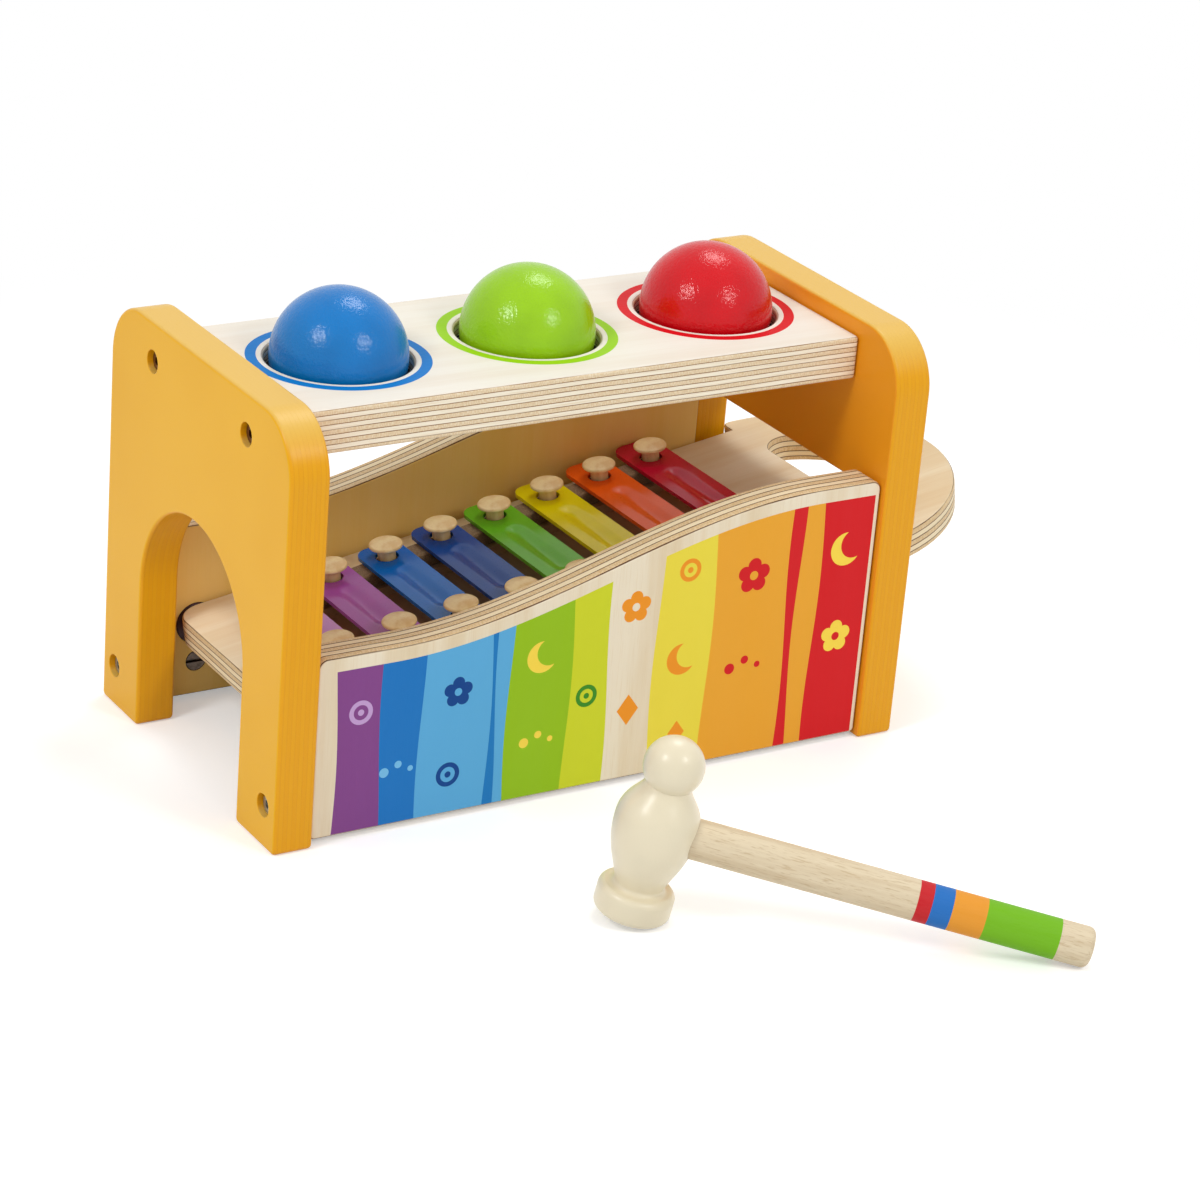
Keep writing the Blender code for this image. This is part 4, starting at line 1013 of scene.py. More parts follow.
# %% [markdown]
# ## Gloss paint
# The balls are dipped in a thick gloss paint, which dries with a fine skin like an orange peel, so the
# highlights on it are soft and mottled. The clear coat gives the highlight, and the same bump that roughens
# the paint also bends the coat. The bars and the mallet's head use this finish with a smoother skin.

# %% Gloss paint
PAINT_CLOUDS = (45.0, 45.0, 45.0)
PAINT_SKIN = (900.0, 900.0, 900.0)


def gloss_paint(name, colour, deeper, roughness=(0.24, 0.40), coat=0.6, skin=0.13, relief=0.00017):
    """Thick paint in two near tones with a clear coat and the fine skin of an orange peel."""
    material, tree, where = new_finish(name, coat=coat, coat_roughness=skin, specular=0.04)
    clouds = streaks(tree, where, PAINT_CLOUDS, 3.0)
    peel = streaks(tree, where, PAINT_SKIN, 2.0)
    shade = tuple(level * deeper for level in colour[:3]) + (1.0,)
    tint = mix(tree, soft_step(tree, clouds, 0.3, 0.72), colour, shade)
    connect(tree, tint, soft_step(tree, peel, 0.25, 0.75, *roughness), peel, relief)
    return material


print("the skin has", PAINT_SKIN[0] / 1000, "waves to the millimetre")

# %% [markdown]
# ## The three balls
# Each ball is turned from a fine half circle. A ready sphere would do for the shape, but a turned one has
# its facets in line with those of the rubber ring, so that the thin gap between them stays even.

# %% Balls
BALL_STEP = math.radians(2.5)

for colour, centre in ball_middle.items():
    low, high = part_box(f"{colour}_ball")
    radius = (high - low).x / 2
    profile = lathe_arc((0, 0), radius, -math.pi / 2, math.pi / 2, BALL_STEP)
    profile[0], profile[-1] = (0, -radius), (0, radius)
    ball = new_piece(f"painted_{colour}_ball", turned(profile, HOLE_SIDES), Matrix.Translation(centre),
                     gloss_paint(f"{colour} gloss paint", BALLS[colour], 0.86))
    stand_in(ball, f"{colour}_ball")
print("each ball measures", round(radius * 2000, 1), "mm")

# %% [markdown]
# ## Rubber rings
# A dark ring in the groove of each hole grips the ball just under its middle. Its inner side is a cup that
# follows the ball, half a millimetre away, so its profile is worked out from the ball's circle. The rubber
# is dull, with a little dust in its grain.

# %% Rubber rings
RING_GAP = 0.0005
RING_LIP = 0.0012
LIP_ROUND = 0.0004
CUP_STEPS = 6
RUBBER = (screen(34, 31, 32), screen(56, 52, 52))
RUBBER_GRAIN = (900.0, 900.0, 900.0)


def speckled(name, tones, waves, detail, spread, roughness, relief, **shader):
    """A finish of two tones in fine specks, which also vary its roughness and its relief."""
    material, tree, where = new_finish(name, **shader)
    specks = streaks(tree, where, waves, detail)
    colour = mix(tree, soft_step(tree, specks, *spread), *tones)
    connect(tree, colour, soft_step(tree, specks, 0.2, 0.8, *roughness), specks, relief)
    return material


ring_rubber = speckled("ring rubber", RUBBER, RUBBER_GRAIN, 2.0, (0.4, 0.8), (0.55, 0.75), WOOD_RELIEF)
for colour, centre in ball_middle.items():
    to_top = centre.z - board_high.z
    reach = radius + RING_GAP

    def cup(height):
        """Radius of the ring's inner side at a height."""
        return math.sqrt(reach ** 2 - (height - to_top) ** 2)

    bottom = -RING_DEPTH - RING_THICKNESS
    lip = bottom - RING_LIP
    profile = [
        (HOLE_RADIUS + RING_GROOVE, -RING_DEPTH), (HOLE_RADIUS + RING_GROOVE, bottom),
        (HOLE_RADIUS - SEAT_GAP, bottom), (cup(lip) + RING_LIP, lip + LIP_ROUND),
        (cup(lip) + RING_LIP - LIP_ROUND, lip), (cup(lip), lip),
    ]
    heights = [lip + (-RING_DEPTH - lip) * i / CUP_STEPS for i in range(1, CUP_STEPS + 1)]
    profile += [(cup(height), height) for height in heights]
    ring = new_piece(f"rubber_ring_{colour}", turned(profile + profile[:1], HOLE_SIDES),
                     Matrix.Translation((centre.x, centre.y, board_high.z)), ring_rubber)
    stand_in(ring, f"{colour}_ball_ring")
print("each ring starts", RING_DEPTH * 1000, "mm under the board's face")

# %% [markdown]
# ## The tray
# The tray is a long board with a round pull end. Its sizes are measured along its own slope, from the
# middle of its left end. The places of the first and the last bar tell where the pocket under the bars
# starts and ends, and how far the two rows of posts lean apart.

# %% Sizes of the tray
TRAY_ARRIS = 0.0009
TRAY_LAYERS = 5
TRAY_LEFT_CORNER = 0.009
SHOULDER_WIDTH = 0.0072
SHOULDER_CORNER = 0.0025
PULL_REACH = 0.0507
GRIP_FROM_SHOULDER = 0.0019
GRIP_RIM = 0.0187
GRIP_CORNER = 0.008
TROUGH_DEPTH = 0.0035
TROUGH_CORNER = 0.004
TROUGH_INSET = 0.006
STRIP_HALF = 0.0045
POST_HOLE_RADIUS = 0.0034
# Painted shade: two darker browns for the pocket under the bars.
POCKET_PAINTED_SHADE_TONES = (screen(205, 170, 130), screen(184, 150, 114))
COLOURS = ("lilac", "purple", "blue", "navy", "green", "yellow", "orange", "red")

outer_x = bench_corner.x + inner_x + end_size.x + SEAT_GAP
shoulder_along = (outer_x - tray_place.translation.x) / math.cos(slope)
pull_radius = tray_half + SHOULDER_WIDTH
pull_middle = shoulder_along + PULL_REACH - pull_radius
first_low, first_high = local_box(f"{COLOURS[0]}_bar", tray_place)
last_low, last_high = local_box(f"{COLOURS[-1]}_bar", tray_place)
row_first = abs(middle(*local_box(f"{COLOURS[0]}_bar_front_post", tray_place)).y)
row_last = abs(middle(*local_box(f"{COLOURS[-1]}_bar_front_post", tray_place)).y)
print("the tray's shoulder is", round(shoulder_along, 4), "m from its left end")

# %% [markdown]
# ## Cutting the tray
# A half-moon is cut through the pull end for the fingers, and a shallow pocket under the bars lets them
# ring. The pocket is painted a darker brown, as painted shade under the bars. The painted shade follows the
# two leaning rows of felt and ends under them, so that no edge of it shows.

# %% Tray board
def tray_outline():
    """The whole board, with its straight sides, its shoulders and its round pull end."""
    shoulder = math.sqrt(pull_radius ** 2 - (shoulder_along - pull_middle) ** 2)
    turn = math.atan2(shoulder, shoulder_along - pull_middle)
    round_end = arc((pull_middle, 0), pull_radius, -turn, turn)
    return rounded_outline([
        (0, -tray_half, TRAY_LEFT_CORNER), (shoulder_along, -tray_half, 0),
        (shoulder_along, -shoulder, SHOULDER_CORNER), *[(p.x, p.y, 0) for p in round_end[1:-1]],
        (shoulder_along, shoulder, SHOULDER_CORNER), (shoulder_along, tray_half, 0),
        (0, tray_half, TRAY_LEFT_CORNER),
    ])


def finger_outline():
    """Half-moon with a straight side towards the bars and rounded tips."""
    radius = pull_radius - GRIP_RIM
    left = shoulder_along + GRIP_FROM_SHOULDER
    tip_x = left + GRIP_CORNER
    tip_y = math.sqrt((radius - GRIP_CORNER) ** 2 - (tip_x - pull_middle) ** 2)
    lean = math.atan2(tip_y, tip_x - pull_middle)
    points = arc((pull_middle, 0), radius, -lean, lean)
    points += arc((tip_x, tip_y), GRIP_CORNER, lean, math.pi)
    points += arc((tip_x, -tip_y), GRIP_CORNER, math.pi, math.tau - lean)
    return distinct(points)


def trough_outline():
    """The pocket under the bars, wider at its right end as the rows are."""
    left_half, right_half = row_first - TROUGH_INSET, row_last - TROUGH_INSET
    return rounded_outline([
        (first_low.x, -left_half, TROUGH_CORNER), (last_high.x, -right_half, TROUGH_CORNER),
        (last_high.x, right_half, TROUGH_CORNER), (first_low.x, left_half, TROUGH_CORNER),
    ])


def pocket_painted_shade(tree, where, wood):
    """Painted shade, a darker brown between the two rows of felt, on the pocket's floor and walls and the rims
    beside it.
    """
    x, y, z = (axis_of(tree, where, axis) for axis in range(3))
    lean = (row_last - row_first) / (last_high.x - first_low.x)
    start = row_first - STRIP_HALF / 2 - first_low.x * lean
    half = calc(tree, "ADD", calc(tree, "MULTIPLY", x, lean), start)
    inside = calc(tree, "LESS_THAN", calc(tree, "ABSOLUTE", y), half)
    inside = calc(tree, "MULTIPLY", inside, step_over(tree, x, first_low.x - TINY))
    inside = calc(tree, "MULTIPLY", inside, calc(tree, "LESS_THAN", x, last_high.x + TINY))
    inside = calc(tree, "MULTIPLY", inside, step_over(tree, z, -TROUGH_DEPTH - TINY))
    # The pocket is painted a darker brown as painted shade under the bars.
    painted_shade = mix(tree, streaks(tree, where, along_grain(FACE_BANDS, 0)), *POCKET_PAINTED_SHADE_TONES)
    return mix(tree, inside, wood, painted_shade)


tray_finish = plywood("tray plywood", -tray_thickness, tray_thickness, TRAY_LAYERS,
                      WARM_TONES, BIRCH_EDGE, painted_shade_on=pocket_painted_shade)
tray_slab = slab(tray_outline(), -tray_thickness, 0, TRAY_ARRIS)
tray = new_piece("sloping_tray", tray_slab, tray_place, tray_finish)
cut(tray, opening(finger_outline(), -tray_thickness, 0, TRAY_ARRIS), tray_place)
cut(tray, slab(trough_outline(), -TROUGH_DEPTH, OVERRUN), tray_place)
for colour in COLOURS:
    for row in ("front", "rear"):
        bore(tray, f"{colour}_bar_{row}_post", "z", POST_HOLE_RADIUS, tray_place)
sand(tray)
stand_in(tray, "tray_board")
print("the tray is", round(tray_half * 2000, 1), "mm wide")

# %% [markdown]
# ## Felt under the bars
# Two strips of brown felt carry the bars, so that they ring instead of rattling. Felt is matted wool: it
# has no shine, its edges are soft, and loose hairs catch the light. Sheen gives that pale bloom without
# hair. The rows lean apart as the bars get longer, so each strip is drawn through the posts of its row.

# %% Felt strips
FELT_ARRIS = 0.0007
FELT_RELIEF = 0.00018
FELT_BROWN = screen(124, 98, 70)
FELT_FLUFF = screen(154, 126, 94)
FELT_HAIRS = (2400.0, 900.0, 2400.0)
FELT_MAT = (500.0, 500.0, 500.0)


def felt():
    """Matted wool: paler hairs on a brown ground."""
    material, tree, where = new_finish("brown wool felt", sheen=0.15)
    hairs = streaks(tree, where, FELT_HAIRS, 4.0)
    mat = streaks(tree, where, FELT_MAT, 3.0)
    colour = mix(tree, soft_step(tree, hairs, 0.42, 0.72), FELT_BROWN, FELT_FLUFF)
    fuzz = calc(tree, "ADD", hairs, mat)
    connect(tree, colour, soft_step(tree, mat, 0.2, 0.8, 0.86, 1.0), fuzz, FELT_RELIEF)
    return material


wool = felt()
for name, side in (("front", -1), ("rear", 1)):
    node = f"{name}_felt_strip"
    low, high = local_box(node, tray_place)
    first_x, last_x = middle(first_low, first_high).x, middle(last_low, last_high).x
    lean = (row_last - row_first) / (last_x - first_x)
    near = side * (row_first - (first_x - low.x) * lean)
    far = side * (row_last + (high.x - last_x) * lean)
    outline = [Vector((low.x, near - STRIP_HALF)), Vector((high.x, far - STRIP_HALF)),
               Vector((high.x, far + STRIP_HALF)), Vector((low.x, near + STRIP_HALF))]
    strip = new_piece(f"felt_{name}", slab(outline, low.z, high.z, FELT_ARRIS), tray_place, wool)
    for colour in COLOURS:
        bore(strip, f"{colour}_bar_{name}_post", "z", POST_HOLE_RADIUS, tray_place)
    sand(strip)
    stand_in(strip, node)
print("the felt strips are", STRIP_HALF * 2000, "mm wide")

# %% [markdown]
# ## The metal bars
# A bar is a strip of steel, painted all over. A flute is pressed into it between its two holes, which makes
# it stiffer and gives the long highlight. A press gives a smooth valley, so its depth follows a cosine from
# the middle line to the rim. A cut groove would have hard edges.

# %% Flute of a bar
BAR_CORNER = 0.0048
BAR_THICKNESS = 0.0015
BAR_RIM = 0.0004
FLUTE_HALF = 0.0045
FLUTE_DEPTH = 0.0009
FLUTE_LENGTH_SHARE = 0.68
BAR_HOLE_RADIUS = 0.00405
BAR_COLUMNS = 26
BAR_ROW = 0.0012
CORNER_ROWS = 8


def bar_rows(half_length):
    """Places of the rows along a bar, closer together round its corners."""
    straight = half_length - BAR_CORNER
    count = max(2, round(2 * straight / BAR_ROW))
    rows = [straight * (2 * i / count - 1) for i in range(count + 1)]
    turns = [math.pi / 2 * (i + 1) / CORNER_ROWS for i in range(CORNER_ROWS)]
    ends = [straight + BAR_CORNER * math.sin(turn) for turn in turns]
    return [-y for y in ends[::-1]] + rows + ends


def flute(x, y, reach):
    """How far the sheet is pressed down at a point. The flute is a capsule that ends short of the holes."""
    away = math.hypot(x, max(0.0, abs(y) - reach))
    if away >= FLUTE_HALF:
        return 0.0
    return FLUTE_DEPTH * (1 + math.cos(math.pi * away / FLUTE_HALF)) / 2


print("a flute is pressed", FLUTE_DEPTH * 1000, "mm deep and", FLUTE_HALF * 2000, "mm wide")

# %% [markdown]
# ## The sheet of a bar
# A bar is two grids of the same rows and columns, one sheet's thickness apart, joined round the rim. The
# rows get shorter round the corners, so the grid follows them without any cut, and it bends smoothly into
# the flute.

# %% Sheet of a bar
def bar_mesh(half_width, half_length, half_spacing):
    """A closed sheet: one grid for its upper side, one under it, and a strip of faces round the rim."""
    mesh = bmesh.new()
    straight = half_length - BAR_CORNER
    reach = half_spacing * FLUTE_LENGTH_SHARE - FLUTE_HALF
    grids = {0.0: [], -BAR_THICKNESS: []}
    for y in bar_rows(half_length):
        over = min(max(0.0, abs(y) - straight), BAR_CORNER)
        half_row = half_width - BAR_CORNER + math.sqrt(BAR_CORNER ** 2 - over ** 2)
        for drop, rows in grids.items():
            line = []
            for i in range(BAR_COLUMNS + 1):
                x = half_row * (2 * i / BAR_COLUMNS - 1)
                line.append(mesh.verts.new((x, y, drop - flute(x, y, reach))))
            rows.append(line)
    top, under = grids[0.0], grids[-BAR_THICKNESS]
    for rows in (top, under):
        for low_row, high_row in zip(rows, rows[1:]):
            for i in range(BAR_COLUMNS):
                mesh.faces.new((low_row[i], low_row[i + 1], high_row[i + 1], high_row[i]))
    for i in range(BAR_COLUMNS):
        for row in (0, -1):
            mesh.faces.new((top[row][i], top[row][i + 1], under[row][i + 1], under[row][i]))
    for j in range(len(top) - 1):
        for column in (0, -1):
            mesh.faces.new((top[j][column], top[j + 1][column], under[j + 1][column], under[j][column]))
    return mesh


print("a bar is", BAR_THICKNESS * 1000, "mm thick")

# %% [markdown]
# ## The eight bars
# The bars differ only in their length and their enamel, so one loop makes them all. Here a Bevel does the
# rims well: the sheet's rims and the two holes are its only sharp edges, and all of them are clean. The
# enamel is thinner than the paint on the balls, so its skin is nearly smooth.

# %% Eight bars
BAR_PAINT = {
    "lilac": screen(204, 140, 206), "purple": screen(172, 84, 172), "blue": screen(0, 108, 202),
    "navy": screen(28, 76, 158), "green": screen(108, 190, 36), "yellow": screen(236, 220, 0),
    "orange": screen(244, 96, 14), "red": screen(196, 6, 50),
}


def round_rims(bar):
    """Rounds the rims of the sheet and its holes, which are its only sharp edges."""
    step = bar.modifiers.new("rims", "BEVEL")
    step.width = BAR_RIM
    step.segments = 3
    step.limit_method = "ANGLE"
    step.angle_limit = ARRIS_ANGLE
    step.harden_normals = True
    settle(bar)


for colour, paint_colour in BAR_PAINT.items():
    node = f"{colour}_bar"
    low, high = local_box(node, tray_place)
    centre = middle(low, high)
    spacing = abs(middle(*local_box(f"{node}_front_post", tray_place)).y)
    size = high - low
    place = tray_place @ Matrix.Translation((centre.x, centre.y, high.z))
    finish = gloss_paint(f"{colour} enamel", paint_colour, 0.9, roughness=(0.26, 0.38), coat=0.5,
                         skin=0.14, relief=0.000008)
    bar = new_piece(f"pressed_{colour}_bar", bar_mesh(size.x / 2, size.y / 2, spacing), place, finish)
    for row in ("front", "rear"):
        bore(bar, f"{node}_{row}_post", "z", BAR_HOLE_RADIUS, tray_place)
    round_rims(bar)
    stand_in(bar, node)
    print(bar.name, "is", round(size.y * 1000, 1), "mm long")

# %% [markdown]
# ## Turned wood
# Posts and pegs are turned from sticks of wood. The grain runs along their axis, and the lathe leaves fine
# rings across it. The rings are a sine of the distance from the axis, so that they stay round on the dome
# of a post, where a stretched noise would run into lines.

# %% Turned wood
TURNED_PALE = screen(242, 218, 166)
TURNED_WARM = screen(226, 190, 132)
TURNED_FIBRES = (1100.0, 1100.0, 60.0)
TURNED_BANDS = (160.0, 160.0, 14.0)
LATHE_WAVES = 9000.0
LATHE_DEPTH = 0.18


def turned_wood(name, pale, warm, coat=0.25):
    """Lacquered wood with its grain along +Z and the marks of a lathe round it."""
    material, tree, where = new_finish(name, coat=coat, coat_roughness=0.2)
    fibres = streaks(tree, where, TURNED_FIBRES, 3.0)
    bands = streaks(tree, where, TURNED_BANDS, 3.0)
    wood = mix(tree, soft_step(tree, bands, 0.35, 0.7), pale, warm)
    wood = mix(tree, soft_step(tree, fibres, 0.5, 0.8, 0.0, 0.5), wood, warm)
    away = add(tree, "VectorMath", {0: where, 1: (1.0, 1.0, 0.0)}, operation="MULTIPLY")
    away = add(tree, "VectorMath", {0: away}, "Value", operation="LENGTH")
    rings = calc(tree, "SINE", calc(tree, "MULTIPLY", away, LATHE_WAVES))
    relief = calc(tree, "ADD", fibres, calc(tree, "MULTIPLY", rings, LATHE_DEPTH))
    connect(tree, wood, soft_step(tree, fibres, 0.2, 0.8, 0.36, 0.52), relief, WOOD_RELIEF)
    return material


post_wood = turned_wood("turned post wood", TURNED_PALE, TURNED_WARM)
print("the lathe's rings are", round(math.tau / LATHE_WAVES * 1000, 2), "mm apart")

# %% [markdown]
# ## The sixteen posts
# Each bar hangs loosely on two small mushrooms. Their stems stand in the tray's holes and pass through the
# holes of the bar, and the flat domes keep the bar from jumping off. All share one profile, which is spun
# about its axis, as on the lathe.

# %% Sixteen posts
POST_STEM_RADIUS = 0.0031
POST_HEAD_THICKNESS = 0.0019
POST_DOME = 0.0006
POST_RIM = 0.0007
POST_RIM_STEP = math.radians(15)
POST_FILLET = (0.0004, 0.0006)
POST_SIDES = 40
DOME_POINTS = 8

for colour in COLOURS:
    for row in ("front", "rear"):
        node = f"{colour}_bar_{row}_post"
        low, high = local_box(node, tray_place)
        centre = middle(low, high)
        head = (high - low).x / 2
        flat = head - POST_RIM
        shares = [i / DOME_POINTS for i in range(DOME_POINTS)]
        profile = [(flat * share, high.z - POST_DOME * share ** 2) for share in shares]
        rim_middle = (flat, high.z - POST_DOME - POST_RIM)
        profile += lathe_arc(rim_middle, POST_RIM, math.pi / 2, -math.pi / 3, POST_RIM_STEP)
        under = high.z - POST_HEAD_THICKNESS - POST_DOME
        profile += [(POST_STEM_RADIUS + POST_FILLET[0], under), (POST_STEM_RADIUS, under - POST_FILLET[1]),
                    (POST_STEM_RADIUS, low.z), (0, low.z)]
        post = new_piece(f"turned_{colour}_{row}", turned(profile, POST_SIDES),
                         tray_place @ Matrix.Translation((centre.x, centre.y, 0)), post_wood)
        stand_in(post, node)
print("a post's head is", round(head * 2000, 1), "mm across")

# %% [markdown]
# ## Metals and dark wood
# The bolts are plated with zinc, whose fine crystals dull it in patches. The screws are browned, and the
# nuts inside are blackened, so they hardly show. One function makes all three metals, because they differ
# only in their two tones. The pegs are turned wood like the posts, stained dark.

# %% Metals and dark wood
METALS = {
    "zinc plated": (screen(186, 188, 186), screen(150, 152, 150)),
    "browned": (screen(132, 96, 62), screen(104, 72, 46)),
    "blackened": (screen(112, 100, 92), screen(84, 74, 66)),
}
SPANGLE = (700.0, 700.0, 700.0)
PEG_BROWN = screen(88, 66, 70)
PEG_DARK = screen(58, 42, 46)

steel = {name: speckled(f"{name} steel", tones, SPANGLE, 3.0, (0.35, 0.7), (0.26, 0.44), PAINT_RELIEF,
                        metallic=1.0) for name, tones in METALS.items()}
peg_wood = turned_wood("dark stained peg", PEG_BROWN, PEG_DARK, 0.1)
print("the fixings are of", ", ".join(steel), "steel")

# %% [markdown]
# ## Bolts and screws
# The lower bolts pull the ends against the long panels, and the upper screws hold the top board. Their
# heads sit deep in the recesses, where a hex socket catches a little light. Only their shanks differ: a
# bolt ends flat, and a screw has a point.

# %% Bolts and screws
HEAD_THICKNESS = 0.0022
HEAD_ROUND = 0.0007
ROUND_STEP = math.radians(22.5)
SHANK_RADIUS = 0.0020
SCREW_TIP = 0.0040
SOCKET_RADIUS = 0.00155
SOCKET_DEPTH = 0.0014
HEX_SIDES = 6


def fixing(node, side, tip, finish):
    """A bolt or screw that looks outward from its end panel. tip is the length of its point."""
    low, high = local_box(node, bench_place)
    centre = middle(low, high)
    head = max((high - low).y, (high - low).z) / 2
    outward = -1 if side == "left" else 1
    face = low.x if side == "left" else high.x
    place = bench_place @ Matrix.Translation((face - outward * HEAD_THICKNESS, centre.y, centre.z))
    place = place @ Matrix.Rotation(outward * math.pi / 2, 4, "Y")
    length = (high - low).x - HEAD_THICKNESS
    rim_middle = (head - HEAD_ROUND, HEAD_THICKNESS - HEAD_ROUND)
    profile = [(0, HEAD_THICKNESS)] + lathe_arc(rim_middle, HEAD_ROUND, math.pi / 2, 0, ROUND_STEP)
    profile += [(head, 0), (SHANK_RADIUS, 0), (SHANK_RADIUS, tip - length), (0, -length)]
    piece = new_piece(node.replace("_", "-"), turned(profile, FIXING_SIDES), place, finish)
    socket = rod(SOCKET_RADIUS, HEAD_THICKNESS - SOCKET_DEPTH, HEAD_THICKNESS + OVERRUN, HEX_SIDES)
    cut(piece, socket, place)
    stand_in(piece, node, edges=True)
    print(node, "is", round((high - low).x * 1000, 1), "mm long")


for end in ("left", "right"):
    for row in ("front", "rear"):
        fixing(f"{end}_{row}_bolt", end, 0.0, steel["zinc plated"])
        fixing(f"{end}_{row}_screw", end, SCREW_TIP, steel["browned"])

# %% [markdown]
# ## Pegs and nuts
# The support pegs stick out of the long panels and carry the tray, and a stop peg behind its left corner
# keeps it from sliding too far. The nuts are short rods let in level with the inner face. Each has a slot,
# so that a screwdriver can turn its thread towards the bolt. All of them show when the tray is out.

# %% Pegs and nuts
PEG_ROUND = 0.0006
SLOT_HALF = 0.0006
SLOT_DEPTH = 0.0011


def lie_across(node, side):
    """Frame of a peg or nut whose +Z points out of the panel's inner face, and its radius and length."""
    low, high = local_box(node, bench_place)
    centre = middle(low, high)
    start = low.y if side == "front" else high.y
    turn = -math.pi / 2 if side == "front" else math.pi / 2
    place = bench_place @ Matrix.Translation((centre.x, start, centre.z)) @ Matrix.Rotation(turn, 4, "X")
    return place, max((high - low).x, (high - low).z) / 2, (high - low).y


for side in ("front", "back"):
    for peg in LET_IN[:3]:
        node = f"{side}_panel_{peg}"
        place, reach, length = lie_across(node, side)
        corner = PEG_ROUND if "support" in peg else PEG_ROUND / 2
        rim = lathe_arc((reach - corner, length - corner), corner, 0, math.pi / 2, ROUND_STEP)
        profile = [(0, 0), (reach, 0)] + rim + [(0, length)]
        piece = new_piece(f"dark_{side}_{peg}", turned(profile, FIXING_SIDES), place, peg_wood)
        stand_in(piece, node, edges=True)
    row = "front" if side == "front" else "rear"
    for nut in LET_IN[3:]:
        node = f"{side}_panel_{nut}"
        place, reach, length = lie_across(node, side)
        nut_rod = rod(reach, 0, length, FIXING_SIDES)
        piece = new_piece(f"round_{side}_{nut}", nut_rod, place, steel["blackened"])
        blade = rectangle(-reach - OVERRUN, -SLOT_HALF, reach + OVERRUN, SLOT_HALF)
        cut(piece, slab(blade, length - SLOT_DEPTH, length + OVERRUN), place)
        end = nut.split("_")[0]
        bore(piece, f"{end}_{row}_bolt", "x", SHANK_HOLE_RADIUS)
        stand_in(piece, node, edges=True)
print("a nut is", round(reach * 2000, 1), "mm thick and", round(length * 1000, 1), "mm long")

# %% [markdown]
# ## The mallet
# The mallet lies beside the bench, leaning on the rim of its foot and the end of its handle. Its lean is
# worked out from those two touching points, so both stay on the floor. Head and handle share one frame,
# whose +Z runs up through the head.

# %% Mallet's frame
FOOT_RADIUS = 0.0123
FOOT_THICKNESS = 0.0094
NECK = (0.008, 0.0108)
WAIST = (0.0134, 0.0315)
NOTCH_RADIUS = 0.0072
BALL_TOP_RADIUS = 0.0096
BALL_TOP_HEIGHT = 0.0518
HANDLE_RADIUS = 0.0065
HANDLE_HEIGHT = 0.0298
HANDLE_END = 0.1392
HANDLE_SEAT = 0.018
MALLET_ARRIS = 0.0022
MALLET_STEP = math.radians(9)
MALLET_TURN = math.radians(-36.1)

drop = HANDLE_HEIGHT - HANDLE_RADIUS
stretch = HANDLE_END - FOOT_RADIUS
tilt = math.atan2(drop, stretch)
mallet_turn = Matrix.Rotation(MALLET_TURN, 4, "Z") @ Matrix.Rotation(tilt, 4, "Y")
head_low, head_high = local_box("mallet_head", mallet_turn)
foot = Vector((head_low.x + WAIST[0], middle(head_low, head_high).y, head_low.z))
mallet_place = mallet_turn @ Matrix.Translation(foot)
print("the mallet leans by", round(math.degrees(tilt), 1), "degrees")

# %% [markdown]
# ## The mallet's head
# The head is one turning: a foot, a narrow neck, a body that swells towards the handle, and a ball. Bezier
# curves draw the body, because two pulls at their ends are enough to make the shoulder fuller or slimmer.
# A small fillet leads from the foot into the neck. The cream lacquer is thick and rather dull.

# %% Mallet head
HEAD_SIDES = 96
CREAM = screen(232, 221, 192)
LOWER_PULLS = (0.25, 0.5)
UPPER_PULLS = (0.35, 0.52)
LOWER_STEPS = 28
UPPER_STEPS = 24
FILLET_STEPS = 8
FILLET_PULL = 0.6


def swell(start, end, pulls, steps):
    """Bezier curve between two points of the profile. The pulls keep each end upright."""
    height = end[1] - start[1]
    points = interpolate_bezier(
        Vector(start), Vector((start[0] + (end[0] - start[0]) * pulls[0], start[1] + height * pulls[0])),
        Vector((end[0], end[1] - height * pulls[1])), Vector(end), steps + 1,
    )
    return [(p[0], p[1]) for p in points]


def fillet(start, corner, end, steps):
    """Hollow curve from one point of the profile to another, drawn towards the corner between them."""
    start, corner, end = Vector(start), Vector(corner), Vector(end)
    pulls = start.lerp(corner, FILLET_PULL), end.lerp(corner, FILLET_PULL)
    points = interpolate_bezier(start, *pulls, end, steps + 1)
    return [(p[0], p[1]) for p in points]


notch_height = BALL_TOP_HEIGHT - math.sqrt(BALL_TOP_RADIUS ** 2 - NOTCH_RADIUS ** 2)
notch_angle = math.asin((notch_height - BALL_TOP_HEIGHT) / BALL_TOP_RADIUS)
rim = FOOT_RADIUS - MALLET_ARRIS
profile = [(0, 0)]
profile += lathe_arc((rim, MALLET_ARRIS), MALLET_ARRIS, -math.pi / 2, 0, MALLET_STEP)
profile += lathe_arc((rim, FOOT_THICKNESS - MALLET_ARRIS), MALLET_ARRIS, 0, math.pi / 2, MALLET_STEP)
profile += fillet((rim, FOOT_THICKNESS), (NECK[0], FOOT_THICKNESS), NECK, FILLET_STEPS)[1:-1]
profile += swell(NECK, WAIST, LOWER_PULLS, LOWER_STEPS)
profile += swell((NOTCH_RADIUS, notch_height), WAIST, UPPER_PULLS, UPPER_STEPS)[-2::-1]
profile += lathe_arc((0, BALL_TOP_HEIGHT), BALL_TOP_RADIUS, notch_angle, math.pi / 2)[1:-1]
profile.append((0, BALL_TOP_HEIGHT + BALL_TOP_RADIUS))
cream = gloss_paint("cream lacquer", CREAM, 0.95, roughness=(0.32, 0.46), coat=1.0, skin=0.31,
                    relief=PAINT_RELIEF)
head = new_piece("lacquered_mallet_head", turned(profile, HEAD_SIDES), mallet_place, cream)
across = mallet_place @ Matrix.Translation((0, 0, HANDLE_HEIGHT)) @ ALONG["x"]
seat_start = WAIST[0] - HANDLE_SEAT
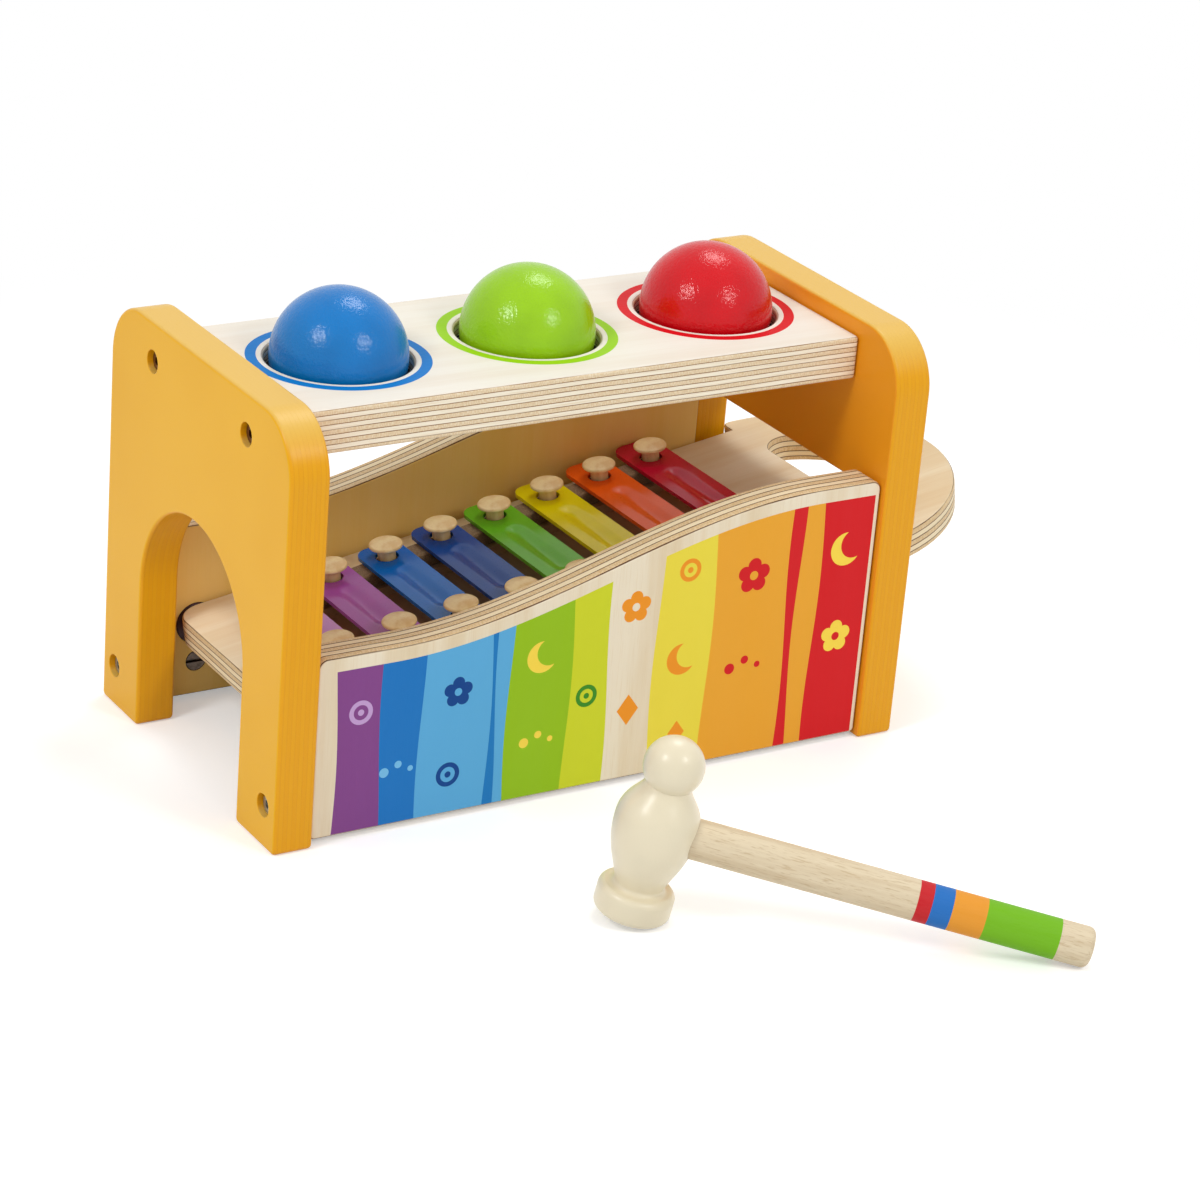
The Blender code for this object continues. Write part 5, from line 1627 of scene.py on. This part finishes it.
cut(head, rod(HANDLE_RADIUS + SEAT_GAP, seat_start, WAIST[0] + OVERRUN, HEAD_SIDES), across)
stand_in(head, "mallet_head", edges=True)
print("the head is", round((BALL_TOP_HEIGHT + BALL_TOP_RADIUS) * 1000, 1), "mm high")

# %% [markdown]
# ## The mallet's handle
# The handle is a plain dowel whose grain runs along it, with short dark pores, and it has painted rings.
# The rings are part of the finish: each starts where a share of the free length is passed, and the last
# one goes back to bare wood.

# %% Mallet handle
HANDLE_SIDES = 64
RING_COVER = 0.96
DOWEL_FIBRES = (2000.0, 2000.0, 230.0)
DOWEL_BANDS = (420.0, 420.0, 22.0)
DOWEL_RELIEF = 0.00005
HANDLE_PALE = screen(224, 208, 178)
HANDLE_WARM = screen(196, 172, 136)
HANDLE_BANDS = [
    (0.553, screen(198, 8, 34)), (0.589, screen(0, 108, 190)), (0.640, screen(230, 152, 44)),
    (0.725, screen(112, 182, 14)), (0.912, None),
]


def banded_dowel():
    """Bare wood with the grain along the handle, and painted rings that let the grain show through."""
    material, tree, where = new_finish("banded handle wood", specular=0.1)
    fibres = streaks(tree, where, DOWEL_FIBRES, 2.0)
    bands = streaks(tree, where, DOWEL_BANDS, 3.0)
    wood = mix(tree, soft_step(tree, bands, 0.38, 0.7, 0.0, 0.4), HANDLE_PALE, HANDLE_WARM)
    wood = mix(tree, soft_step(tree, fibres, 0.52, 0.70, 0.0, 0.7), wood, HANDLE_WARM)
    along = axis_of(tree, where, 2)
    colour = wood
    for share, paint_colour in HANDLE_BANDS:
        start = WAIST[0] + (HANDLE_END - WAIST[0]) * share
        ring = wood if paint_colour is None else mix(tree, RING_COVER, wood, paint_colour)
        colour = mix(tree, step_over(tree, along, start), colour, ring)
    connect(tree, colour, soft_step(tree, fibres, 0.2, 0.8, 0.40, 0.58), fibres, DOWEL_RELIEF)
    return material


start = seat_start + SEAT_GAP
round_middle = (HANDLE_RADIUS - MALLET_ARRIS, HANDLE_END - MALLET_ARRIS)
end_round = lathe_arc(round_middle, MALLET_ARRIS, 0, math.pi / 2, MALLET_STEP)
profile = [(0, start), (HANDLE_RADIUS, start)] + end_round + [(0, HANDLE_END)]
handle = new_piece("banded_mallet_handle", turned(profile, HANDLE_SIDES), across, banded_dowel())
stand_in(handle, "mallet_handle", edges=True)
print("the handle reaches", HANDLE_END * 1000, "mm from the middle of the head")
